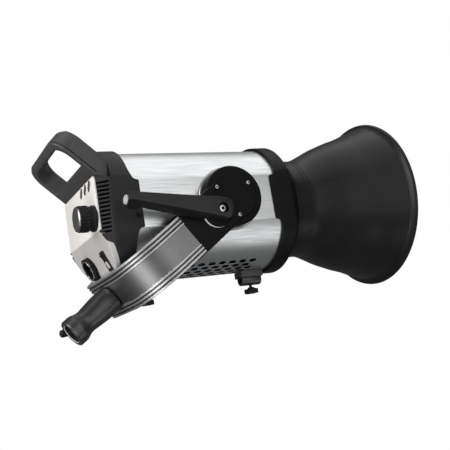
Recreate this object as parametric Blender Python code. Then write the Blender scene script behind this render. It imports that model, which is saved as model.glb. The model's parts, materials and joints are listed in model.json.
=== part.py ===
"""Monolight studio strobe with reflector, yoke and stand socket.

Metres, +Z up, +X is where the light goes. The origin is the centre of the stand socket's mouth.
Head pieces are placed from the tilt axis, and yoke pieces hang from the same axis along local -Z.
"""

import math

import bmesh
import bpy
from mathutils import Matrix, Vector

# Driving dimensions
BODY_RADIUS = 0.0825  # outside of the aluminium covers
BODY_FLAT = 0.0773  # half the width across the two side flats
COVER_WALL = 0.002
CASING_RADIUS = 0.0862  # outside of the moulded ends
CASING_FLAT = 0.0792
PARTING_Z = -0.029  # where the upper cover meets the lower one
REAR_SEAM_X = -0.1255  # edge of the rear casing over the round of the body
FRONT_SEAM_X = 0.0745  # edge of the front bezel over the round of the body
SEAM_TAB = 0.0105  # how far both ends reach further along the side flats
GAP = 0.0003  # between pieces that touch
YOKE_TILT = math.radians(55.2)  # yoke swung back from hanging straight down
YOKE_OUTSIDE = 0.1  # half width over the yoke's outer faces
YOKE_DROP = 0.172  # tilt axis to the underside of the yoke
YOKE_BEND = 0.062  # outer radius of the yoke's two bends
BAR_WIDTH = 0.053
BAR_THICK = 0.009
SOCKET_LENGTH = 0.067
CASTING_REACH = 0.08  # tilt axis to the lower edge of a yoke casting
HUB_RADIUS = 0.0377
LEVER_PIVOT = 0.037  # tilt axis to the lock lever's axis
LEVER_LENGTH = 0.1165
MOUTH_RADIUS = 0.1186
MOUTH_X = 0.2684
AXLE_RADIUS = 0.006

DROP_TO_MOUTH = YOKE_DROP + GAP + SOCKET_LENGTH
TILT_AXIS = Vector((DROP_TO_MOUTH * math.sin(YOKE_TILT), 0.0, DROP_TO_MOUTH * math.cos(YOKE_TILT)))
SIDES = {"near": -1, "far": 1}


# Materials


def finish(name, colour, roughness, metallic=0.0):
    material = bpy.data.materials.new(name)
    material.use_nodes = True
    shader = material.node_tree.nodes["Principled BSDF"]
    shader.inputs["Base Color"].default_value = (*colour, 1.0)
    shader.inputs["Roughness"].default_value = roughness
    shader.inputs["Metallic"].default_value = metallic
    material.diffuse_color = (*colour, 1.0)
    return material


def make_finishes():
    return {
        "brushed": finish("brushed_aluminium", (0.72, 0.73, 0.73), 0.32, 1.0),
        "extruded": finish("extruded_aluminium", (0.42, 0.41, 0.42), 0.3, 1.0),
        "casing": finish("black_moulding", (0.035, 0.034, 0.036), 0.5),
        "casting": finish("black_casting", (0.02, 0.02, 0.021), 0.42),
        "socket": finish("black_socket", (0.03, 0.03, 0.032), 0.35),
        "knob": finish("black_knob", (0.015, 0.015, 0.016), 0.55),
        "panel": finish("grey_panel", (0.62, 0.59, 0.56), 0.5),
        "cap": finish("silver_cap", (0.6, 0.6, 0.6), 0.3, 1.0),
        "steel": finish("bright_steel", (0.6, 0.6, 0.61), 0.25, 1.0),
        "reflector": finish("black_reflector", (0.015, 0.014, 0.015), 0.38),
        "glass": finish("clear_glass", (0.9, 0.92, 0.92), 0.05),
        "ceramic": finish("white_ceramic", (0.85, 0.84, 0.8), 0.5),
        "board": finish("green_board", (0.03, 0.16, 0.07), 0.5),
        "sleeve": finish("dark_sleeve", (0.02, 0.03, 0.09), 0.35),
        "tip": finish("grey_tip", (0.5, 0.5, 0.5), 0.4),
    }


# Building shapes


def new_object(name, bm, material, parent=None):
    """Adds a mesh object with its normals facing out and its round faces shaded smooth."""
    bmesh.ops.recalc_face_normals(bm, faces=bm.faces)
    mesh = bpy.data.meshes.new(name)
    bm.to_mesh(mesh)
    bm.free()
    mesh.shade_smooth()
    mesh.set_sharp_from_angle(angle=math.radians(35))
    if material:
        mesh.materials.append(material)
    obj = bpy.data.objects.new(name, mesh)
    bpy.context.scene.collection.objects.link(obj)
    obj.parent = parent
    return obj


def axis_frame(origin, axis, across=(0.0, 0.0, 1.0)):
    """A matrix whose Z is axis, and whose X is as near to across as it can be."""
    z = Vector(axis).normalized()
    x = Vector(across) - z * z.dot(Vector(across))
    if x.length < 1e-6:
        x = z.orthogonal()
    x.normalize()
    y = z.cross(x)
    turn = Matrix((x, y, z)).transposed().to_4x4()
    return Matrix.Translation(Vector(origin)) @ turn


def empty(name, matrix, parent=None):
    obj = bpy.data.objects.new(name, None)
    obj.empty_display_size = 0.02
    bpy.context.scene.collection.objects.link(obj)
    obj.parent = parent
    obj.matrix_local = matrix
    return obj


def add_turned(bm, profile, segments, matrix=None):
    """Spins (radius, height) points round Z. A profile that ends on the axis is closed there."""
    matrix = matrix or Matrix()
    rings = []
    for radius, height in profile:
        count = segments if radius > 1e-7 else 1
        angles = [2 * math.pi * i / count for i in range(count)]
        points = [Vector((radius * math.cos(a), radius * math.sin(a), height)) for a in angles]
        rings.append([bm.verts.new(matrix @ p) for p in points])
    pairs = list(zip(rings, rings[1:]))
    if len(rings[0]) > 1 and len(rings[-1]) > 1:
        pairs.append((rings[-1], rings[0]))
    for first, second in pairs:
        for i in range(segments):
            j = (i + 1) % segments
            corners = [first[i % len(first)], first[j % len(first)]]
            corners += [second[j % len(second)], second[i % len(second)]]
            unique = list(dict.fromkeys(corners))
            if len(unique) > 2:
                bm.faces.new(unique)


def turned(name, profile, material, matrix, parent=None, segments=32):
    bm = bmesh.new()
    add_turned(bm, profile, segments)
    obj = new_object(name, bm, material, parent)
    obj.matrix_local = matrix
    return obj


def ring_profile(inner, outer, low, high, edge=0.0):
    """A ring's cross-section, with its outer edges cut back by edge."""
    outside = [(outer, low), (outer, high)]
    if edge:
        outside = [(outer - edge, low), (outer, low + edge), (outer, high - edge), (outer - edge, high)]
    return [(inner, high), (inner, low), *outside]


def disc_profile(radius, low, high, edge=0.0):
    if not edge:
        return [(0.0, low), (radius, low), (radius, high), (0.0, high)]
    return [(0.0, low), (radius, low), (radius, high - edge), (radius - edge, high), (0.0, high)]


AXIS_ORDER = {"X": (2, 0, 1), "Y": (0, 2, 1), "Z": (0, 1, 2)}


def add_prism(bm, outline, low, high, axis="Z", matrix=None):
    """Extrudes an outline from low to high along axis. Its points are in the other two axes, in order."""
    matrix = matrix or Matrix()
    order = AXIS_ORDER[axis]
    ends = []
    for level in (low, high):
        points = [(a, b, level) for a, b in outline]
        ends.append([bm.verts.new(matrix @ Vector([p[k] for k in order])) for p in points])
    bm.faces.new(ends[0])
    bm.faces.new(ends[1])
    for i in range(len(outline)):
        j = (i + 1) % len(outline)
        bm.faces.new((ends[0][i], ends[0][j], ends[1][j], ends[1][i]))


def prism(name, outline, low, high, axis, material, parent=None):
    bm = bmesh.new()
    add_prism(bm, outline, low, high, axis)
    return new_object(name, bm, material, parent)


def rectangle(left, right, bottom, top):
    return [(left, bottom), (right, bottom), (right, top), (left, top)]


def box(name, low, high, material, parent=None):
    return prism(name, rectangle(low[0], high[0], low[1], high[1]), low[2], high[2], "Z", material, parent)


def arc(centre, radius, start, end, count):
    """Points along an arc, from start to end in degrees, both ends included."""
    angles = [math.radians(start + (end - start) * i / count) for i in range(count + 1)]
    return [(centre[0] + radius * math.cos(a), centre[1] + radius * math.sin(a)) for a in angles]


def slot_outline(length, width, count=4):
    """A slot with round ends, along the first axis."""
    half = (length - width) / 2
    right = arc((half, 0.0), width / 2, -90, 90, count)
    left = arc((-half, 0.0), width / 2, 90, 270, count)
    return right + left


def body_outline(radius, flat, count=32):
    """A circle with its two sides cut flat, as (y, z) points."""
    limit = math.degrees(math.asin(math.sqrt(radius**2 - flat**2) / radius))
    top = arc((0.0, 0.0), radius, limit, 180 - limit, count // 2)
    bottom = arc((0.0, 0.0), radius, 180 + limit, 360 - limit, count // 2)
    return top + bottom


def soften(obj, width):
    """Rounds an object's sharp edges."""
    bevel = obj.modifiers.new("Rounded edges", "BEVEL")
    bevel.width = width
    bevel.segments = 2
    bevel.limit_method = "ANGLE"
    bevel.angle_limit = math.radians(50)


def combine(obj, tool, operation="DIFFERENCE"):
    """Cuts obj with tool, or joins or crops it. The tool stays as a guide that isn't part of the object."""
    tool.hide_render = True
    tool.display_type = "WIRE"
    boolean = obj.modifiers.new(tool.name, "BOOLEAN")
    boolean.operation = operation
    boolean.object = tool
    return obj


def guide(name, bm, parent=None):
    return new_object(name, bm, None, parent)


# Body: covers, bezel and rear casing


def half_shell(name, keep_top, material, head):
    """One aluminium cover: the body's outline on one side of the parting line, as a thin wall."""
    start, end = REAR_SEAM_X - 0.004, FRONT_SEAM_X + 0.004
    bm = bmesh.new()
    add_prism(bm, body_outline(BODY_RADIUS, BODY_FLAT), start, end, "X")
    shell = new_object(name, bm, material, head)
    bm = bmesh.new()
    inner = body_outline(BODY_RADIUS - COVER_WALL, BODY_FLAT - COVER_WALL)
    add_prism(bm, inner, start - 0.01, end + 0.01, "X")
    combine(shell, guide(name + "_hollow", bm, head))
    low, high = (-0.1, PARTING_Z) if keep_top else (PARTING_Z - GAP, 0.1)
    bm = bmesh.new()
    add_prism(bm, rectangle(-0.1, 0.1, low, high), start - 0.01, end + 0.01, "X")
    return combine(shell, guide(name + "_other_half", bm, head))


def make_upper_cover(finishes, head):
    cover = half_shell("upper_cover", True, finishes["brushed"], head)
    bm = bmesh.new()
    across = axis_frame((0.0, 0.0, 0.0), (0.0, 1.0, 0.0))
    add_turned(bm, disc_profile(AXLE_RADIUS + GAP, -0.09, 0.09), 24, across)
    return combine(cover, guide("axle_holes", bm, head))


def make_lower_cover(finishes, head):
    """The lower cover, with staggered rows of vents along its underside."""
    cover = half_shell("lower_cover", False, finishes["brushed"], head)
    rows, columns = 4, 6
    pitch, spread = 0.019, 26.0
    bm = bmesh.new()
    for row in range(rows):
        angle = math.radians(270 + spread * (row / (rows - 1) * 2 - 1))
        out = Vector((0.0, math.cos(angle), math.sin(angle)))
        for column in range(columns):
            x = -0.078 + pitch * (column + 0.5 * (row % 2))
            matrix = axis_frame(out * (BODY_RADIUS - 0.008), out, (1.0, 0.0, 0.0))
            matrix.translation.x = x
            add_prism(bm, slot_outline(0.009, 0.0048, 3), 0.0, 0.012, "Z", matrix)
    return combine(cover, guide("vents", bm, head))


def seam_cutter(name, x_round, x_flat, x_beyond, head):
    """Removes an end's lip in front of its seam: back to x_round on the rounds, to x_flat on the flats."""
    outer, z_flat, slope = 0.12, 0.0285, 0.003
    outline = [
        (x_beyond, -outer),
        (x_round, -outer),
        (x_round, -z_flat - slope),
        (x_flat, -z_flat),
        (x_flat, z_flat),
        (x_round, z_flat + slope),
        (x_round, outer),
        (x_beyond, outer),
    ]
    bm = bmesh.new()
    add_prism(bm, outline, -outer, outer, "Y")
    return guide(name, bm, head)


def add_loft(bm, sections):
    """Joins body outlines of (x, radius, flat) into one closed solid."""
    rings = []
    for x, radius, flat in sections:
        rings.append([bm.verts.new((x, y, z)) for y, z in body_outline(radius, flat)])
    bm.faces.new(rings[0])
    bm.faces.new(rings[-1])
    for first, second in zip(rings, rings[1:]):
        for i in range(len(first)):
            j = (i + 1) % len(first)
            bm.faces.new((first[i], first[j], second[j], second[i]))


REAR_SECTIONS = [
    (-0.1668, 0.0757, 0.0674),
    (-0.1495, CASING_RADIUS - 0.0005, CASING_FLAT - 0.0004),
    (REAR_SEAM_X + SEAM_TAB, CASING_RADIUS, CASING_FLAT),
]
PANEL_X = -0.1638
PANEL_THICK = 0.0027
PANEL_TOP, PANEL_BOTTOM = 0.0390, -0.0265
FACET_THICK = 0.0055
FACET_TOP = Vector((-0.1616, 0.0, -0.0247))
FACET_BOTTOM = Vector((-0.1416, 0.0, -0.0694))
HANDLE_FRONT = -0.148


def rear_outline():
    """Side view of the rear casing: open to the handle at the top, and to the panels behind."""
    front, rear = REAR_SEAM_X + SEAM_TAB, PANEL_X + GAP
    top, bottom = 0.1, -0.1
    outer = facet_frame(0.0, 0.0) @ Vector((0.0, 0.0, FACET_THICK))
    corner = facet_frame(0.0, 1.0) @ Vector((0.0, 0.0, FACET_THICK))
    return [
        (front, bottom),
        (front, top),
        (HANDLE_FRONT + 2 * GAP, top),
        (HANDLE_FRONT + 2 * GAP, 0.0333),
        (rear, PANEL_TOP),
        (rear, PANEL_BOTTOM - GAP),
        (corner.x, PANEL_BOTTOM - GAP),
        (outer.x, outer.z),
        (-0.127, -0.0865),
        (-0.127, bottom),
    ]


def connector_outline(grow, foot):
    """The sloping panel's sides: it narrows at the top, where the casing comes round its corners."""
    side = [(0.05, 0.0534 + grow), (-0.006, 0.0745 + grow), (-0.0065, foot), (-0.05, foot)]
    return [(along, -half) for along, half in side] + [(along, half) for along, half in reversed(side)]


def make_rear_casing(finishes, head):
    bm = bmesh.new()
    add_loft(bm, REAR_SECTIONS)
    casing = new_object("rear_casing", bm, finishes["casing"], head)
    bm = bmesh.new()
    add_prism(bm, rear_outline(), -0.12, 0.12, "Y")
    combine(casing, guide("rear_profile", bm, head), "INTERSECT")
    bm = bmesh.new()
    lip = body_outline(BODY_RADIUS + GAP, BODY_FLAT + GAP)
    add_prism(bm, lip, REAR_SEAM_X - 0.0045, -0.05, "X")
    combine(casing, guide("rear_lip", bm, head))
    bm = bmesh.new()
    add_prism(bm, body_outline(0.074, 0.071), -0.1445, -0.1, "X")
    combine(casing, guide("rear_hollow", bm, head))
    seam = seam_cutter("rear_seam", REAR_SEAM_X, REAR_SEAM_X + SEAM_TAB, -0.05, head)
    combine(casing, seam)
    bm = bmesh.new()
    add_prism(bm, connector_outline(GAP, 0.1), 0.0, 0.03, "Z", facet_frame(0.0))
    combine(casing, guide("connector_recess", bm, head))
    combine(casing, cooling_slots(head))
    return combine(casing, control_pockets(head))


def cooling_slots(head):
    """Slots down both sides of the rear casing, open at its rear edge."""
    count, pitch, height = 13, 0.0049, 0.0027
    bm = bmesh.new()
    for sign in SIDES.values():
        for i in range(count):
            z = 0.0275 - pitch * i
            x_start = -0.1505 - 0.0003 * i
            low, high = sorted((sign * 0.0645, sign * (CASING_FLAT + 0.01)))
            add_prism(bm, rectangle(-0.18, x_start, z, z + height), low, high, "Y")
    return guide("cooling_slots", bm, head)


def control_pockets(head):
    """One opening through the casing's back wall, behind the rear panel's controls, to the inside."""
    bm = bmesh.new()
    add_prism(bm, rectangle(-0.059, 0.05, -0.0195, 0.0375), -0.18, -0.13, "X")
    add_prism(bm, rectangle(-0.047, 0.041, -0.0668, -0.035), -0.18, -0.13, "X")
    return guide("control_openings", bm, head)


def make_front_bezel(finishes, head):
    """The moulded front ring: a lip over the covers, then a shoulder that narrows to the mount."""
    lip_x, front_x = FRONT_SEAM_X, 0.1045
    sections = [
        (lip_x - SEAM_TAB, CASING_RADIUS, CASING_FLAT),
        (0.0935, CASING_RADIUS + 0.0008, CASING_FLAT + 0.0006),
        (front_x, 0.0745, 0.0738),
    ]
    bm = bmesh.new()
    add_loft(bm, sections)
    bezel = new_object("front_bezel", bm, finishes["casing"], head)
    bm = bmesh.new()
    lip = body_outline(BODY_RADIUS + GAP, BODY_FLAT + GAP)
    add_prism(bm, lip, 0.0, FRONT_SEAM_X + 0.0045, "X")
    combine(bezel, guide("front_lip", bm, head))
    bm = bmesh.new()
    add_turned(bm, disc_profile(0.0705, 0.05, 0.12), 48, axis_frame((0, 0, 0), (1, 0, 0)))
    combine(bezel, guide("front_bore", bm, head))
    return combine(bezel, seam_cutter("front_seam", FRONT_SEAM_X, FRONT_SEAM_X - SEAM_TAB, 0.0, head))


# Handle, panels and controls

HANDLE_FOOT = Vector((-0.165, 0.0, 0.038))
HANDLE_RISE = Vector((-0.725, 0.0, 0.689)).normalized()
HANDLE_DEEP = Vector((0.689, 0.0, 0.725)).normalized()


def handle_point(rise, deep):
    point = HANDLE_FOOT + HANDLE_RISE * rise + HANDLE_DEEP * deep
    return (point.x, point.z)


def handle_loop(half_width, top, corner, foot):
    """The handle's outline seen along its depth: straight legs, round corners and a straight bar."""
    right = arc((half_width - corner, top - corner), corner, 0, 90, 6)
    left = arc((corner - half_width, top - corner), corner, 90, 180, 6)
    return [(half_width, foot), *right, *left, (-half_width, foot)]


def make_carry_handle(finishes, head):
    """A loop at the rear top, on a hood that closes the casing."""
    foot = (HANDLE_FRONT, 0.0338)
    under = handle_point(0.0, 0.002)
    side = [foot, (HANDLE_FRONT, 0.0577), handle_point(0.058, 0.026), handle_point(0.07, 0.02)]
    side += [handle_point(0.07, 0.006), handle_point(0.06, 0.002), under]
    bm = bmesh.new()
    add_prism(bm, side, -0.0695, 0.0695, "Y")
    handle = new_object("carry_handle", bm, finishes["casing"], head)
    across = Matrix((Vector((0, 1, 0)), HANDLE_RISE, HANDLE_DEEP)).transposed().to_4x4()
    across.translation = HANDLE_FOOT
    bm = bmesh.new()
    add_prism(bm, handle_loop(0.0695, 0.0655, 0.027, -0.05), -0.05, 0.1, "Z", across)
    combine(handle, guide("handle_outside", bm, head), "INTERSECT")
    bm = bmesh.new()
    add_prism(bm, handle_loop(0.0615, 0.0545, 0.02, 0.0188), -0.05, 0.1, "Z", across)
    combine(handle, guide("handle_opening", bm, head))
    bm = bmesh.new()
    hood = [foot, (HANDLE_FRONT, 0.1), (HANDLE_FRONT - 0.0005, 0.1)]
    hood += [handle_point(0.019, 0.06), handle_point(0.019, 0.003), under]
    add_prism(bm, hood, -0.1, 0.1, "Y")
    crop = guide("hood_side", bm, head)
    bm = bmesh.new()
    add_prism(bm, body_outline(CASING_RADIUS - 0.0008, 0.0691), -0.2, -0.1, "X")
    rounded = guide("hood_round", bm, head)
    combine(rounded, crop, "INTERSECT")
    combine(handle, rounded, "UNION")
    bm = bmesh.new()
    hollow = [(-0.14, 0.036), (-0.14, 0.0705), (-0.152, 0.0705)]
    hollow += [(-0.163, 0.058), (-0.163, 0.044), (-0.155, 0.036)]
    add_prism(bm, hollow, -0.044, 0.044, "Y")
    return combine(handle, guide("hood_hollow", bm, head))


DIAL_Y, DIAL_Z = -0.0525, -0.0095
BUTTON_Z = 0.0315
BUTTON_Y = (-0.0485, -0.0315, -0.0145)
BUTTON_LEAN = math.radians(40)
INLET_Y, INLET_ALONG = 0.0225, 0.345
SWITCH_Y, SWITCH_ALONG = -0.0355, 0.31


def facet_frame(y, along=0.5):
    """On the sloping panel's inner face: Z points out of it, and X up along it."""
    up = (FACET_TOP - FACET_BOTTOM).normalized()
    out = Vector((0.0, 1.0, 0.0)).cross(up)
    if out.x > 0:
        out = -out
    point = FACET_BOTTOM.lerp(FACET_TOP, along)
    return axis_frame((point.x, y, point.z), out, up)


def button_frame(y, out):
    """A button's seat in the rear panel: Z is along out, and X is along the leaning button."""
    along = Vector((0.0, -math.sin(BUTTON_LEAN), math.cos(BUTTON_LEAN)))
    return axis_frame((PANEL_X, y, BUTTON_Z), (out, 0, 0), along)


def make_rear_panel(finishes, head):
    """The upright grey panel, cropped to the casing's outline, with holes for its controls."""
    bm = bmesh.new()
    add_prism(bm, body_outline(REAR_SECTIONS[0][1], REAR_SECTIONS[0][2]), PANEL_X - PANEL_THICK, PANEL_X, "X")
    panel = new_object("rear_panel", bm, finishes["panel"], head)
    bm = bmesh.new()
    add_prism(bm, rectangle(-0.1, 0.1, PANEL_BOTTOM, PANEL_TOP), -0.2, -0.1, "X")
    combine(panel, guide("rear_panel_crop", bm, head), "INTERSECT")
    bm = bmesh.new()
    add_turned(bm, disc_profile(0.0045, -0.02, 0.02), 16, axis_frame((PANEL_X, DIAL_Y, DIAL_Z), (1, 0, 0)))
    for y in BUTTON_Y:
        add_prism(bm, slot_outline(0.0118, 0.0046, 3), -0.02, 0.02, "Z", button_frame(y, -1))
    return combine(panel, guide("rear_panel_holes", bm, head))


def make_connector_panel(finishes, head):
    """The lower grey panel, which slopes forward and carries the power inlet and the switch."""
    frame = facet_frame(0.0)
    half = (FACET_TOP - FACET_BOTTOM).length / 2
    bm = bmesh.new()
    add_prism(bm, rectangle(-half, half, -0.09, 0.09), GAP, FACET_THICK, "Z", frame)
    panel = new_object("connector_panel", bm, finishes["panel"], head)
    bm = bmesh.new()
    add_loft(bm, REAR_SECTIONS)
    combine(panel, guide("connector_panel_round", bm, head), "INTERSECT")
    bm = bmesh.new()
    add_prism(bm, rectangle(-0.2, 0.0, -0.1, PANEL_BOTTOM - GAP), -0.1, 0.1, "Y")
    combine(panel, guide("connector_panel_top", bm, head), "INTERSECT")
    bm = bmesh.new()
    add_prism(bm, connector_outline(0.0, 0.0746), -0.02, 0.02, "Z", frame)
    combine(panel, guide("connector_panel_sides", bm, head), "INTERSECT")
    bm = bmesh.new()
    add_turned(bm, disc_profile(0.0125, -0.02, 0.02), 24, facet_frame(INLET_Y, INLET_ALONG))
    opening = rectangle(-0.0108, 0.0108, -0.0048, 0.0048)
    add_prism(bm, opening, -0.02, 0.02, "Z", facet_frame(SWITCH_Y, SWITCH_ALONG))
    return combine(panel, guide("connector_panel_holes", bm, head))


def knob_outline(radius, flutes, depth):
    """Points round a fluted knob's outline, alternately high and low."""
    count = flutes * 2
    points = []
    for i in range(count):
        r = radius - (depth if i % 2 else 0.0)
        angle = 2 * math.pi * i / count
        points.append((r * math.cos(angle), r * math.sin(angle)))
    return points


def make_power_dial(finishes, head):
    """A fluted knob with a silver cap, turning on a fixed stepped collar."""
    out = axis_frame((PANEL_X - PANEL_THICK, DIAL_Y, DIAL_Z), (-1, 0, 0))
    collar = [(0.0, GAP), (0.0158, GAP), (0.0158, 0.004), (0.0145, 0.005), (0.0145, 0.0083), (0.0, 0.0083)]
    turned("dial_collar", collar, finishes["knob"], out, head, 32)
    bm = bmesh.new()
    add_prism(bm, knob_outline(0.016, 24, 0.0008), 0.0087, 0.0205, "Z")
    dial = new_object("power_dial", bm, finishes["knob"], head)
    dial.matrix_local = out
    cap = [(0.0, 0.0208), (0.015, 0.0208), (0.015, 0.022), (0.013, 0.023), (0.0, 0.023)]
    turned("dial_cap", cap, finishes["cap"], out, head, 32)


def make_buttons(finishes, head):
    """Three small push buttons, each held in from behind by its rim."""
    for index, y in enumerate(BUTTON_Y):
        bm = bmesh.new()
        add_prism(bm, slot_outline(0.0112, 0.004, 3), -0.004, PANEL_THICK + 0.0012, "Z")
        button = new_object(f"panel_button_{index + 1}", bm, finishes["knob"], head)
        bm = bmesh.new()
        add_prism(bm, slot_outline(0.013, 0.0065, 3), -0.0045, -0.0028, "Z")
        rim = guide(f"button_rim_{index + 1}", bm, head)
        for obj in (button, rim):
            obj.matrix_local = button_frame(y, -1)
        combine(button, rim, "UNION")


def make_inlet_and_switch(finishes, head):
    rim = FACET_THICK + 0.0065
    flange = [
        (0.0105, rim),
        (0.0105, -0.006),
        (0.0122, -0.006),
        (0.0122, FACET_THICK + GAP),
        (0.0155, FACET_THICK + GAP),
        (0.0155, rim - 0.003),
        (0.0138, rim),
    ]
    seat = facet_frame(INLET_Y, INLET_ALONG)
    turned("power_inlet", flange, finishes["knob"], seat, head, 32)
    core = disc_profile(0.0102, -0.0055, 0.001)
    turned("inlet_contacts", core, finishes["casing"], seat, head, 24)
    seat = facet_frame(SWITCH_Y, SWITCH_ALONG)
    low, high = FACET_THICK + GAP, FACET_THICK + 0.0018
    bm = bmesh.new()
    add_prism(bm, rectangle(-0.013, 0.013, -0.0066, 0.0066), low, high, "Z")
    frame = new_object("switch_frame", bm, finishes["casing"], head)
    frame.matrix_local = seat
    bm = bmesh.new()
    add_prism(bm, rectangle(-0.0104, 0.0104, -0.0045, 0.0045), 0.0, 0.02, "Z")
    hole = guide("switch_hole", bm, head)
    hole.matrix_local = seat
    combine(frame, hole)
    bm = bmesh.new()
    top = FACET_THICK + 0.0022
    outline = [(-0.0098, top - 0.0045), (0.0098, top - 0.0045), (0.0098, top + 0.0018)]
    outline += [(0.0, top), (-0.0098, top - 0.001)]
    add_prism(bm, outline, -0.004, 0.004, "Y")
    rocker = new_object("rocker_switch", bm, finishes["knob"], head)
    rocker.matrix_local = seat


def make_casing_screws(finishes, head):
    for side, sign in SIDES.items():
        seat = axis_frame((-0.1215, sign * CASING_FLAT, -0.0145), (0, sign, 0))
        head_profile = [(0.0, GAP), (0.0027, GAP), (0.0027, 0.0008), (0.0018, 0.0014), (0.0, 0.0014)]
        turned(f"casing_screw_{side}", head_profile, finishes["casing"], seat, head, 16)


# Umbrella holders under the body


def make_umbrella_holder(label, x, finishes, head):
    """A saddle under the lower cover with a tube along X, and its thumb screw."""
    tube_z, tube_radius, bore = -0.0935, 0.0078, 0.0052
    half = 0.0145
    bm = bmesh.new()
    add_turned(bm, disc_profile(tube_radius, -half, half), 24, axis_frame((x, 0, tube_z), (1, 0, 0)))
    holder = new_object(f"umbrella_holder_{label}", bm, finishes["socket"], head)
    bm = bmesh.new()
    saddle = rectangle(x - half - 0.0015, x + half + 0.0015, -0.0105, 0.0105)
    add_prism(bm, saddle, -0.0905, -0.0805, "Z")
    combine(holder, guide(f"saddle_{label}", bm, head), "UNION")
    bm = bmesh.new()
    add_turned(bm, disc_profile(bore, -0.03, 0.03), 24, axis_frame((x, 0, tube_z), (1, 0, 0)))
    add_turned(bm, disc_profile(BODY_RADIUS + GAP, x - 0.03, x + 0.03), 96, axis_frame((0, 0, 0), (1, 0, 0)))
    add_turned(bm, disc_profile(0.0023, -0.02, 0.0), 12, axis_frame((x, 0, tube_z), (0, 0, 1)))
    combine(holder, guide(f"holder_bores_{label}", bm, head))
    bm = bmesh.new()
    lobes = knob_outline(0.0095, 6, 0.002)
    add_prism(bm, lobes, 0.0085, 0.0145, "Z")
    screw = new_object(f"umbrella_screw_{label}", bm, finishes["knob"], head)
    bm = bmesh.new()
    shank = [(0.0, 0.0012), (0.002, 0.0012), (0.002, 0.006), (0.0045, 0.0065), (0.0045, 0.01)]
    add_turned(bm, shank + [(0.0, 0.01)], 12)
    stem = guide(f"screw_stem_{label}", bm, head)
    place = axis_frame((x, 0, tube_z - tube_radius + 0.0035), (0, 0, -1))
    screw.matrix_local = place
    stem.matrix_local = place
    combine(screw, stem, "UNION")


# Inside the body


def make_inside(finishes, head):
    box("chassis_plate", (-0.105, -0.06, -0.0285), (0.066, 0.06, -0.0265), finishes["extruded"], head)
    box("circuit_board", (-0.1, -0.055, -0.018), (0.055, 0.055, -0.0164), finishes["board"], head)
    box("transformer", (-0.02, -0.03, -0.016), (0.04, 0.03, 0.03), finishes["casing"], head)
    for index, (y, z) in enumerate(((-0.036, -0.047), (0.0, -0.058), (0.036, -0.047))):
        seat = axis_frame((-0.075, y, z), (1, 0, 0))
        can = disc_profile(0.0165, 0.0, 0.085, 0.002)
        turned(f"capacitor_{index + 1}", can, finishes["sleeve"], seat, head, 20)
    make_fan(finishes, head)
    make_light_source(finishes, head)


def make_fan(finishes, head):
    """A square axial fan behind the board, with its rotor on the fan's axis."""
    x, half, depth = -0.108, 0.03, 0.015
    centre_z = 0.02
    seat = axis_frame((x, 0, centre_z), (-1, 0, 0))
    bm = bmesh.new()
    add_prism(bm, rectangle(-half, half, -half, half), 0.0, depth, "Z")
    frame = new_object("fan_frame", bm, finishes["knob"], head)
    frame.matrix_local = seat
    bm = bmesh.new()
    duct = [(0.0, 0.0045), (0.0105, 0.0045), (0.0105, -0.01), (0.0285, -0.01), (0.0285, 0.03), (0.0, 0.03)]
    add_turned(bm, duct, 24)
    hole = guide("fan_duct", bm, head)
    hole.matrix_local = seat
    combine(frame, hole)
    spokes = bmesh.new()
    for i in range(3):
        turn = Matrix.Rotation(math.radians(120 * i + 30), 4, "Z")
        add_prism(spokes, rectangle(0.009, 0.0295, -0.0015, 0.0015), 0.0, 0.002, "Z", turn)
    held = guide("fan_spokes", spokes, head)
    held.matrix_local = seat
    combine(frame, held, "UNION")
    bm = bmesh.new()
    add_turned(bm, disc_profile(0.0118, 0.0052, 0.0135, 0.001), 24)
    rotor = new_object("fan_rotor", bm, finishes["knob"], head)
    blades = bmesh.new()
    for i in range(7):
        turn = Matrix.Rotation(2 * math.pi * i / 7, 4, "Z") @ Matrix.Rotation(math.radians(38), 4, "X")
        lift = Matrix.Translation((0.0, 0.0, 0.0092))
        add_prism(blades, rectangle(0.009, 0.0272, -0.0045, 0.0045), -0.0006, 0.0006, "Z", lift @ turn)
    fins = guide("fan_blades", blades, head)
    rotor.matrix_local = seat
    fins.matrix_local = seat
    combine(rotor, fins, "UNION")


LAMP_PLATE_X = 0.0895


def make_light_source(finishes, head):
    """The front plate, the ceramic base, the ring flash tube and the modelling lamp."""
    out = axis_frame((LAMP_PLATE_X, 0, 0), (1, 0, 0))
    turned("front_plate", disc_profile(0.07, -0.0018, 0.0), finishes["extruded"], out, head, 48)
    base = [(0.0, GAP), (0.031, GAP), (0.031, 0.011), (0.028, 0.013)]
    base += [(0.0105, 0.013), (0.0105, 0.006), (0.0, 0.006)]
    ceramic = turned("lamp_base", base, finishes["ceramic"], out, head, 32)
    radius, tube = 0.0225, 0.0042
    lift = 0.03
    bm = bmesh.new()
    circle = arc((radius, lift), tube, 0, 315, 7)
    add_turned(bm, circle, 28)
    flash = new_object("flash_tube", bm, finishes["glass"], head)
    legs = bmesh.new()
    pins = bmesh.new()
    for angle in (-12, 12):
        spot = Matrix.Rotation(math.radians(angle + 180), 4, "Z") @ Matrix.Translation((radius, 0.0, 0.0))
        add_turned(legs, disc_profile(0.0032, 0.0068, lift), 12, spot)
        add_turned(pins, disc_profile(0.0036, 0.0062, 0.05), 12, spot)
    stand = guide("flash_tube_legs", legs, head)
    holes = guide("flash_tube_sockets", pins, head)
    for obj in (flash, stand, holes):
        obj.matrix_local = out
    combine(flash, stand, "UNION")
    combine(ceramic, holes)
    bulb = [(0.0, 0.0065), (0.0095, 0.0065), (0.0095, 0.0185)]
    bulb += [(r, h) for h, r in arc((0.043, 0.0), 0.0135, 138, 0, 7)]
    bulb[-1] = (0.0, 0.0565)
    turned("modelling_lamp", bulb, finishes["glass"], out, head, 20)


# Reflector and its bayonet

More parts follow.
